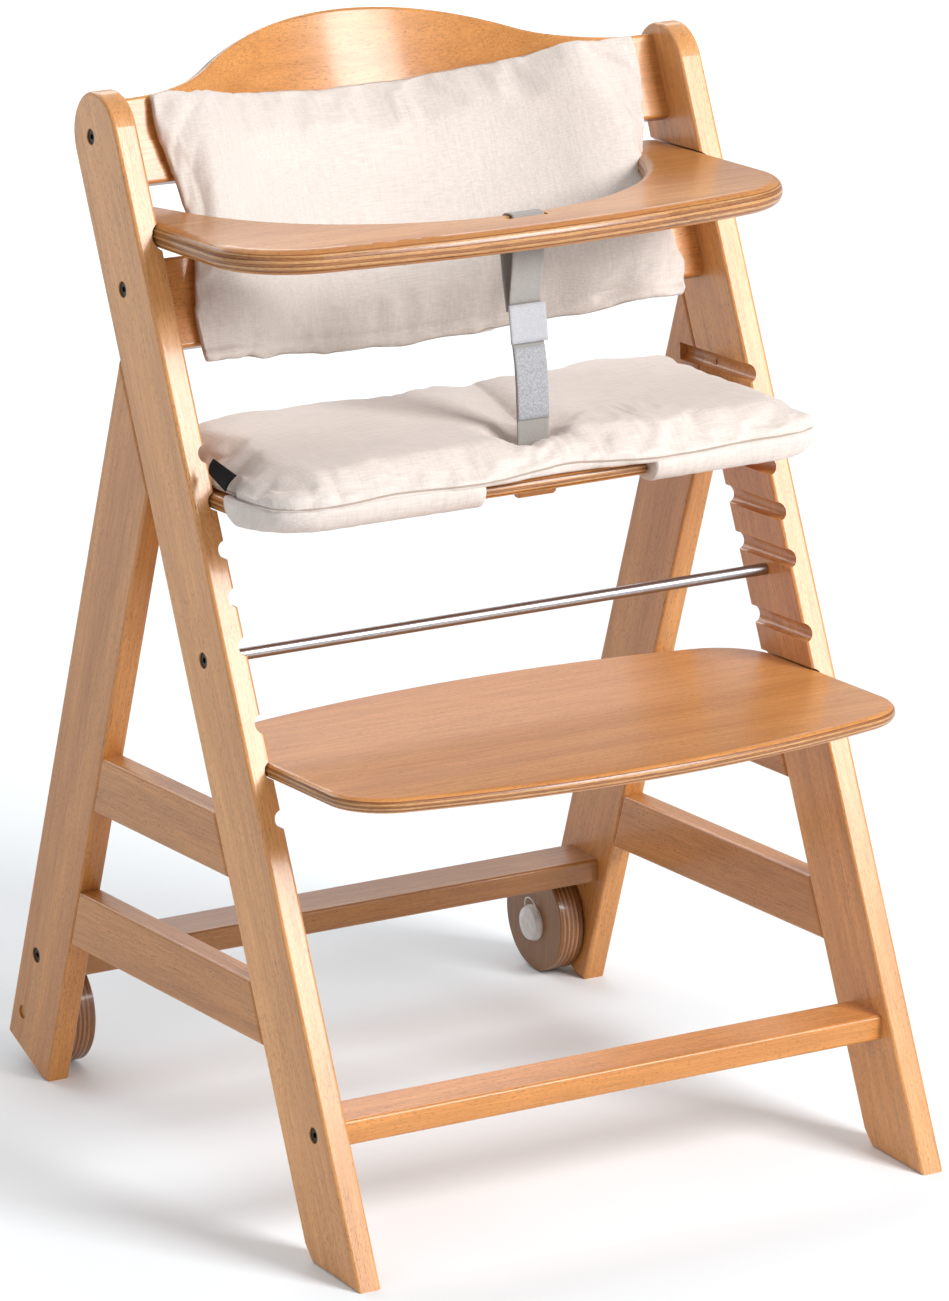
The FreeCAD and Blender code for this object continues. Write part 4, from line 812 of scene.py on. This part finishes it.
def seat_fold(point, normal):
    """Dents, puckers and fine folds of the seat cushion, then its place on the board."""
    x, y, z = point
    top = smooth(SEAT_REST + 0.002, SEAT_REST + 0.010, z)
    from_front = y - seat_rim_front(x)
    half = SEAT_PAD_WIDE if y < SEAT_PAD_STEP + 0.005 else SEAT_PAD_NARROW
    from_rim = max(min(from_front, half - abs(x), SEAT_PAD_REAR - y), 0.0)
    # valley that runs back from the strap, with a swelling on its right
    valley = x - 0.006 - 0.20 * (y - STRAP_PLACE)
    depth = smooth(0.006, 0.045, y) * (1 - 0.55 * smooth(0.06, 0.20, y))
    width = 0.024 if valley < 0 else 0.011
    move = -0.0068 * depth * hump(valley, -0.006, width)
    move += 0.0022 * depth * hump(valley, 0.026, 0.022)
    move -= 0.0065 * hump(x, 0.0, 0.024) * hump(y, STRAP_PLACE, 0.011)
    # puckers along the seam, most of them right of the strap and at the corners
    along = x + 0.35 * y
    pucker = math.exp(-from_rim / 0.013)
    busy = 0.12 + 0.9 * hump(x, 0.045, 0.045) + 0.7 * hump(x, 0.200, 0.030)
    busy += 0.35 * hump(x, -0.185, 0.022)
    fine = wander(along * 95, y * 9, 1.7) + 0.6 * wander(along * 210, y * 18, 4.2)
    move += 0.0015 * pucker * busy * fine * smooth(0.0, 0.004, from_rim)
    # creases beside the strap and at the right front corner
    crease = wander(x * 60 + 2.5 * wander(x * 22, y * 22), y * 26, 8.8)
    near = hump(x, 0.050, 0.050) * hump(y, STRAP_PLACE - 0.006, 0.026)
    move += 0.0026 * near * (1 - 2.2 * abs(crease))
    corner = hump(x, 0.196, 0.030) * hump(y, 0.030, 0.035)
    move += 0.0019 * corner * wander((x + y) * 105, (x - y) * 16, 6.1)
    # slow unevenness of the filling, and the two stitches
    move += 0.0008 * wander(x * 9, y * 9, 2.2) + 0.0002 * wander(x * 60, y * 60, 5.0)
    nick = hump(x, SEAM_NICKS[0], 0.0032) + 0.9 * hump(x, SEAM_NICKS[1], 0.0032)
    move -= 0.0026 * nick * math.exp(-from_front / 0.007)
    moved = Vector(point) + Vector(normal) * move * top
    moved.z = max(moved.z, SEAT_REST)
    limit = SEAT_PAD_WIDE + 0.0008 if moved.y < SEAT_PAD_STEP + 0.015 else SEAT_PAD_NARROW + 0.0015
    moved.x = max(min(moved.x, limit), -limit)
    return on_seat(moved)


BOARD_ROUND = 0.0480                          # radius of the board's front corners
BOARD_CORNER = Vector((0.1736, BOARD_ROUND))  # centre of the right one


def over_edge(x, y):
    """Nearest point of the board's outline, the way out from it and the distance to (x, y)."""
    point = Vector((abs(x), y))
    if point.x < BOARD_CORNER.x:
        edge, out = Vector((point.x, 0.0003)), Vector((0.0, -1.0))
    else:
        out = (point - BOARD_CORNER).normalized()
        edge = BOARD_CORNER + out * BOARD_ROUND
    reach = (point - edge).dot(out)
    side = 1 if x > 0 else -1
    return Vector((edge.x * side, edge.y)), Vector((out.x * side, out.y)), reach


# Cut through a pocket, from its inner top edge outwards, round the front and under the board:
# (out from the board's edge, level).  Places above 0.1 are shares of the cushion's overhang.
POCKET_SECTION = ((-0.0045, 0.0090), (0.0020, 0.0094), (0.60, 0.0092), (0.95, 0.0078),
                  (0.96, 0.0040), (0.82, -0.0010), (0.62, -0.0048), (0.34, -0.0078),
                  (0.0010, -0.0092), (-0.0070, -0.0090), (-0.0150, -0.0076), (-0.0150, -0.0068),
                  (-0.0040, -0.0070), (0.0012, -0.0062), (0.0026, -0.0034), (0.0026, 0.0030),
                  (0.0014, 0.0062), (-0.0045, 0.0064))
POCKET_TOP = (2, 3)               # its points that follow the seam's level
POCKET_UNDER = (8, 9, 10, 11, 12)  # its points that stay below the board
POCKET_LEAST = 0.0036             # least overhang


def front_rim_at(x):
    """Place on the cushion's front rim at x, found by halving."""
    low, high = -1.0, 1.0
    for _ in range(24):
        middle = (low + high) / 2
        low, high = (middle, high) if seat_place(middle, -1)[0] < x else (low, middle)
    return seat_place(low, -1)


def pocket(name, side, start, end):
    """Fabric pocket that hangs from the seam, round the board's front edge and corner.

    It runs along the cushion's rim, from start on the front to end on the side.
    """
    front_steps, side_steps = 60, 24
    corner = SEAT_PAD_WIDE * 0.93
    side_reach = 2 * (end + SEAT_OVERHANG) / (SEAT_PAD_REAR + SEAT_OVERHANG)
    rim = [front_rim_at(side * (start + (corner - start) * i / front_steps))
           for i in range(front_steps + 1)]
    rim += [seat_place(side, -1 + i / side_steps * side_reach) for i in range(1, side_steps + 1)]
    vertices, faces = [], []
    last = len(rim) - 1
    for i, (x, y) in enumerate(rim):
        edge, out, reach = over_edge(x, y)
        reach = max(reach, POCKET_LEAST)
        tail = smooth(0.0, 0.022, (rim[last][1] - y) + 0.002)
        lift = seat_seam_level(x, y) - SEAT_SEAM
        for k, (offset, z) in enumerate(POCKET_SECTION):
            puffy = 1 + 0.05 * wander(i * 0.45, k * 0.5, 7.0) + 0.04 * wander(i * 1.4, k, 2.0)
            if offset > 0.1:
                offset *= reach * puffy
            if z < 0:
                z *= 0.45 + 0.55 * tail + 0.05 * wander(i * 0.3, 0.0, 3.0)
                z = min(z, -0.0062) if k in POCKET_UNDER else z
            elif k in POCKET_TOP:
                z += lift
            place = edge + out * offset
            vertices.append((place.x, place.y, z))
    ring = len(POCKET_SECTION)
    for i in range(last):
        for k in range(ring):
            a, b = i * ring, (i + 1) * ring
            face = (a + k, b + k, b + (k + 1) % ring, a + (k + 1) % ring)
            faces.append(face if side > 0 else face[::-1])
    caps = [tuple(range(ring)), tuple(range(last * ring, (last + 1) * ring))[::-1]]
    faces += caps if side > 0 else [cap[::-1] for cap in caps]
    return mesh_object(name, vertices, faces)


def square_turn(count):
    """Places round the rim of a pillow's square, from -1 to 1 both ways."""
    for i in range(count):
        turn = 2 * math.pi * i / count
        s, t = math.cos(turn), math.sin(turn)
        most = max(abs(s), abs(t))
        yield s / most, t / most


def add_seam(name, pad, rim, to_row, middle, radius, fabric, body):
    """Thin piping laid on the pad's side where the lines through rim meet it; its dark colour is
    painted shade of the seam's gap.
    """
    surface = BVHTree.FromPolygons([vertex.co for vertex in pad.data.vertices],
                                   [face.vertices for face in pad.data.polygons])
    points = []
    for place in rim:
        inward = Vector((-0.2 * place.x, 0.6 * (middle - place.y), 0)).normalized()
        start, end = to_row(place - inward * 0.02), to_row(place + inward * 0.02)
        way = (end - start).normalized()
        hit = surface.ray_cast(start, way, 0.04)[0]
        if hit is not None:
            points.append(hit - way * 0.0001)
    seam = tube(name, points, radius, 6, closed=True)
    finish_soft(seam, lambda point, normal: point, fabric, body, "cushion_fabric")


def add_seat_cushion(fabric, seam_shade_fabric):
    """Cushion on the seat board, its two pockets over the board's corners, and its seam."""
    pad = pillow("seat_pad", seat_place, SEAT_REST, seat_high, 84, 44)
    cut_hole(pad, STRAP_SIDE, STRAP_PLACE, 0.0155, 0.0040)
    puff(pad, seat_hold, 0.0070, SEAT_REST, 0.035)
    finish_soft(pad, seat_fold, fabric, "seat", "cushion_fabric", "seat_cushion")
    for label, side, start, end in (("left", -1, 0.0585, 0.060), ("right", 1, 0.0740, 0.050)):
        flap = pocket("seat_pocket_" + label, side, start, end)
        finish_soft(flap, lambda point, normal: on_seat(point), fabric, "seat", "cushion_fabric")
    rim = [seat_place(s, t) for s, t in square_turn(260)]
    rim = [Vector((x, y, seat_seam_level(x, y))) for x, y in rim]
    add_seam("seat_pad_seam", pad, rim, on_seat, 0.098, 0.0008, seam_shade_fabric, "seat")


# ---------------- back cushion

BACK_LOW_EDGE, BACK_HIGH_EDGE = -0.130, 0.0595   # up the lean from the top board's lower edge
BACK_PAD_HALF = 0.1950
BACK_WAIST = 0.0095   # how far the sides are drawn in beside the tray
BACK_SHIFT = 0.0035   # the cushion sits a little to the right
BACK_GAP = 0.0008     # between the cushion's rear face and the boards


def on_back(point):
    """Row frame place of (across, up the lean, in front of the boards)."""
    x, up, ahead = point
    depth = bow(x, -ahead)
    return BACK_BASE + Vector((x, 0, 0)) + BACK_LEAN * depth + UP_LEAN * up


def back_waist(up):
    """1 where the sides are drawn in at the height of the tray."""
    return smooth(0.040, -0.030, up) * smooth(-0.105, -0.045, up)


def back_place(s, t):
    """(across, up the lean) for a place on the pillow's square."""
    up = (BACK_LOW_EDGE + BACK_HIGH_EDGE) / 2 + t * (BACK_HIGH_EDGE - BACK_LOW_EDGE) / 2
    half = BACK_PAD_HALF - BACK_WAIST * back_waist(up) - 0.0015 * (1 - t * t)
    half *= 1 - 0.012 * abs(t) ** 12
    x = s * half + BACK_SHIFT
    wave = 0.0010 * wander(x * 30, 0, 3.3 + t) + 0.0006 * math.sin(x * 95 + t)
    up += wave * abs(t) ** 3 + 0.0015 * t * abs(s) ** 10
    return x, up


def back_high(s, t):
    """Thickness before it is filled."""
    dome = (1 - abs(s) ** 10) * (1 - abs(t) ** 8)
    return 0.0080 + 0.0065 * max(dome, 0.0) ** 0.5


def back_side(x, up):
    """Distance in from the cushion's nearer side edge."""
    return BACK_PAD_HALF - BACK_WAIST * back_waist(up) - abs(x - BACK_SHIFT)


def back_hold(point):
    """1 on the rear face and along the seam."""
    x, up, ahead = point
    if ahead < 0.0022:
        return 1.0
    rim = min(back_side(x, up) - 0.0010, up - BACK_LOW_EDGE, BACK_HIGH_EDGE - up)
    return 1.0 if rim < 0.004 and ahead < 0.0065 else 0.0


def back_fold(point, normal):
    """Folds, puckers and stitched lower edge of the back cushion, then its place on the boards."""
    x, up, ahead = point
    front = smooth(0.003, 0.008, ahead)
    from_low = max(up - BACK_LOW_EDGE, 0.0)
    from_high = max(BACK_HIGH_EDGE - up, 0.0)
    from_side = max(back_side(x, up) - 0.0005, 0.0)
    # broad folds that fade away from the lower and the upper edge
    folds = wander(x * 26, up * 3, 1.1) + 0.5 * wander(x * 55, up * 5, 2.6)
    move = 0.0040 * math.exp(-from_low / 0.050) * folds
    folds = wander(x * 30, up * 4, 5.5) + 0.6 * wander(x * 75, up * 8, 6.5)
    move += 0.0013 * math.exp(-from_high / 0.030) * folds
    # puckers at the edges and sides, and the slow unevenness of the filling
    pucker = math.exp(-from_low / 0.009) + math.exp(-from_high / 0.009)
    move += 0.0009 * pucker * wander(x * 120, up * 10, 7.5)
    move += 0.0020 * math.exp(-from_side / 0.016) * wander(up * 85, x * 8, 8.5)
    move += 0.0015 * wander(x * 12, up * 12, 9.5) + 0.0004 * wander(x * 50, up * 50, 4.5)
    # three creases that rise from the lower edge
    for place, depth in ((-0.152, 0.0034), (-0.030, 0.0030), (0.060, 0.0020)):
        lean = x - place - 0.10 * (up - BACK_LOW_EDGE)
        move -= depth * hump(lean, 0, 0.006) * math.exp(-from_low / 0.045)
    # rolled hem and the stitch line above it
    move += 0.0010 * hump(from_low, 0.0045, 0.0028) - 0.0016 * hump(from_low, 0.0095, 0.0024)
    moved = Vector(point) + Vector(normal) * move * front
    moved.z = min(max(moved.z, 0.0006), 0.0215)
    return on_back(moved)


def add_back_cushion(fabric, seam_shade_fabric):
    """Cushion against the two back boards, and its seam."""
    pad = pillow("back_pad", back_place, BACK_GAP, back_high, 76, 42)
    puff(pad, back_hold, 0.0075, 0.0006, 0.038)
    finish_soft(pad, back_fold, fabric, "frame", "cushion_fabric", "back_cushion")
    rim = [Vector((*back_place(s, t), 0.0050)) for s, t in square_turn(240)]
    add_seam("back_pad_seam", pad, rim, on_back, -0.035, 0.0006, seam_shade_fabric, "frame")


# ---------------- crotch strap and label

FRONT_FEET = 274.0   # millimetres from the front feet to the row frame's middle
STRAP_STEP = 0.003   # length of the strap's mesh cells


def ribbon(name, path, width, thickness):
    """Flat tape through (depth, height) points, with raised selvedges and rounded edges."""
    dense = []
    for (y0, z0), (y1, z1) in zip(path, path[1:]):
        parts = max(int(math.hypot(y1 - y0, z1 - z0) / STRAP_STEP), 1)
        dense += [(y0 + (y1 - y0) * k / parts, z0 + (z1 - z0) * k / parts) for k in range(parts)]
    dense.append(path[-1])
    half = width / 2
    across = [-half, -half + 0.0006, -half + 0.0020, -half + 0.0032, -half * 0.4, 0,
              half * 0.4, half - 0.0032, half - 0.0020, half - 0.0006, half]
    swell = [0.45, 1.0, 1.0, 0.80, 0.84, 0.86, 0.84, 0.80, 1.0, 1.0, 0.45]
    vertices = []
    for i, (y, z) in enumerate(dense):
        before, after = dense[max(i - 1, 0)], dense[min(i + 1, len(dense) - 1)]
        ahead = Vector((0, after[0] - before[0], after[1] - before[1])).normalized()
        out = Vector((0, -ahead.z, ahead.y))
        for side in (1, -1):
            for x, share in zip(across[::side], swell[::side]):
                offset = side * thickness / 2 * share
                vertices.append(Vector((x + STRAP_SIDE, y, z)) + out * offset)
    return loft(name, vertices, 2 * len(across))


def strap_points(*points):
    """Strap path in the row frame from millimetres behind the front feet and above the floor."""
    return [((y - FRONT_FEET) / 1000, z / 1000) for y, z in points]


def add_strap(band, tape, hooks):
    """Strap round the tray's front bar, its closing flap, and the run down through the seat."""
    upper = ribbon("strap_top_loop", strap_points(
        (191.0, 616.3), (190.9, 619), (190.2, 625), (188.9, 634), (187.2, 645), (186.3, 656),
        (185.8, 668), (185.6, 677.0), (186.0, 679.7), (187.6, 681.3), (190.2, 681.6),
        (193.8, 681.4), (198.8, 680.1), (202.5, 676.6), (203.9, 671.5), (204.1, 664), (202.9, 650),
        (199.9, 634), (196.6, 621), (194.4, 612)), 0.025, 0.0016)
    flap = ribbon("strap_closing_flap", strap_points(
        (184.0, 591.5), (184.9, 598), (186.4, 607), (188.1, 618)), 0.029, 0.0022)
    lower = ribbon("strap_low_run", strap_points(
        (190.4, 614), (189.6, 608), (188.2, 600), (186.9, 593), (185.1, 586), (183.0, 577),
        (181.2, 562), (179.9, 545), (178.9, 530), (178.3, 512), (178.2, 485.5)),
        0.025, 0.0016)
    strip = ribbon("strap_hook_strip", strap_points(
        (184.6, 588.5), (183.6, 584), (181.3, 575), (179.6, 562), (178.5, 548), (177.9, 538.5)),
        0.0245, 0.0012)
    dress(strip, hooks, "hook_and_loop")
    dress(upper, band, "webbing", "strap_upper")
    dress(flap, tape, "hook_and_loop", "strap_flap")
    dress(lower, band, "webbing", "strap_lower")
    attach(flap, "frame")
    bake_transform(upper)
    for piece in (strip, lower):
        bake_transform(piece)


def add_cap_loops(wire):
    """Thin wire loop that stands out behind each hub cap's upper rim."""
    for side in ("left", "right"):
        low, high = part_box("hub_cap_" + side)
        inward = 1 if side == "left" else -1
        face = low.x if side == "left" else high.x
        middle = Vector((face + inward * 0.0022, (low.y + high.y) / 2, high.z - 0.0030))
        points = []
        for i in range(25):
            turn = math.radians(-20 + 220 * i / 24)
            points.append(middle + Vector((inward * 0.0015 * math.sin(turn),
                                           0.0088 * math.cos(turn), 0.0092 * math.sin(turn))))
        loop = tube("cap_loop_" + side, points, 0.0005, 8)
        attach(loop, "wheel_" + side)
        dress(loop, wire, "cap_plastic")


def add_label(cloth):
    """Blank dark label sewn into the side seam at the left front corner."""
    columns, rows = 10, 6
    vertices, faces = [], []
    for thick in (0, 1):
        for i in range(columns + 1):
            for j in range(rows + 1):
                u, v = i / columns, j / rows
                y = 0.0833 - 0.0233 * u - 0.0015 * v - 0.0100 * u * v
                z = 0.0208 - 0.0080 * u + 0.0106 * v + 0.0025 * u * v
                x = -0.2222 - 0.0011 * math.sin(math.pi * v) + 0.0026 * v * v
                vertices.append(on_seat((x - 0.0007 * thick, y, z)))
    size = (columns + 1) * (rows + 1)
    for i in range(columns):
        for j in range(rows):
            a = i * (rows + 1) + j
            ring = (a, a + 1, a + rows + 2, a + rows + 1)
            faces.append(ring)
            faces.append(tuple(size + k for k in ring[::-1]))
    edge = list(range(rows + 1))
    edge += [i * (rows + 1) + rows for i in range(1, columns + 1)]
    edge += [columns * (rows + 1) + j for j in range(rows - 1, -1, -1)]
    edge += [i * (rows + 1) for i in range(columns - 1, 0, -1)]
    for a, b in zip(edge, edge[1:] + edge[:1]):
        faces.append((b, a, a + size, b + size))
    label = mesh_object("side_label", vertices, faces)
    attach(label, "seat")
    dress(label, cloth, "label", "cushion_label")


def paint_soft():
    """Cushions, strap and label in the places of their plain CAD solids."""
    seat_cloth = linen("linen_seat", (SLOPE, 0, 0), LINEN, 3.0)
    back_cloth = linen("linen_back", (LEAN, 0, 0), LINEN, 5.0)
    seam_shade_cloth = linen("linen_seam_shade", (0, 0, 0), LINEN_SEAM_SHADE, 7.0)
    add_seat_cushion(seat_cloth, seam_shade_cloth)
    add_back_cushion(back_cloth, seam_shade_cloth)
    add_strap(webbing("strap_webbing", WEBBING), fuzzy_tape("strap_tape", TAPE),
              fuzzy_tape("strap_hooks", TAPE_SHADE, 900, 0.30))
    add_cap_loops(cap_plastic("cap_loop_plastic"))
    add_label(webbing("label_weave", LABEL_BLACK, 0.0007, 0.0))


# ---------------- the scene

add_camera()
add_light()
add_floor()
paint_frame()
paint_soft()
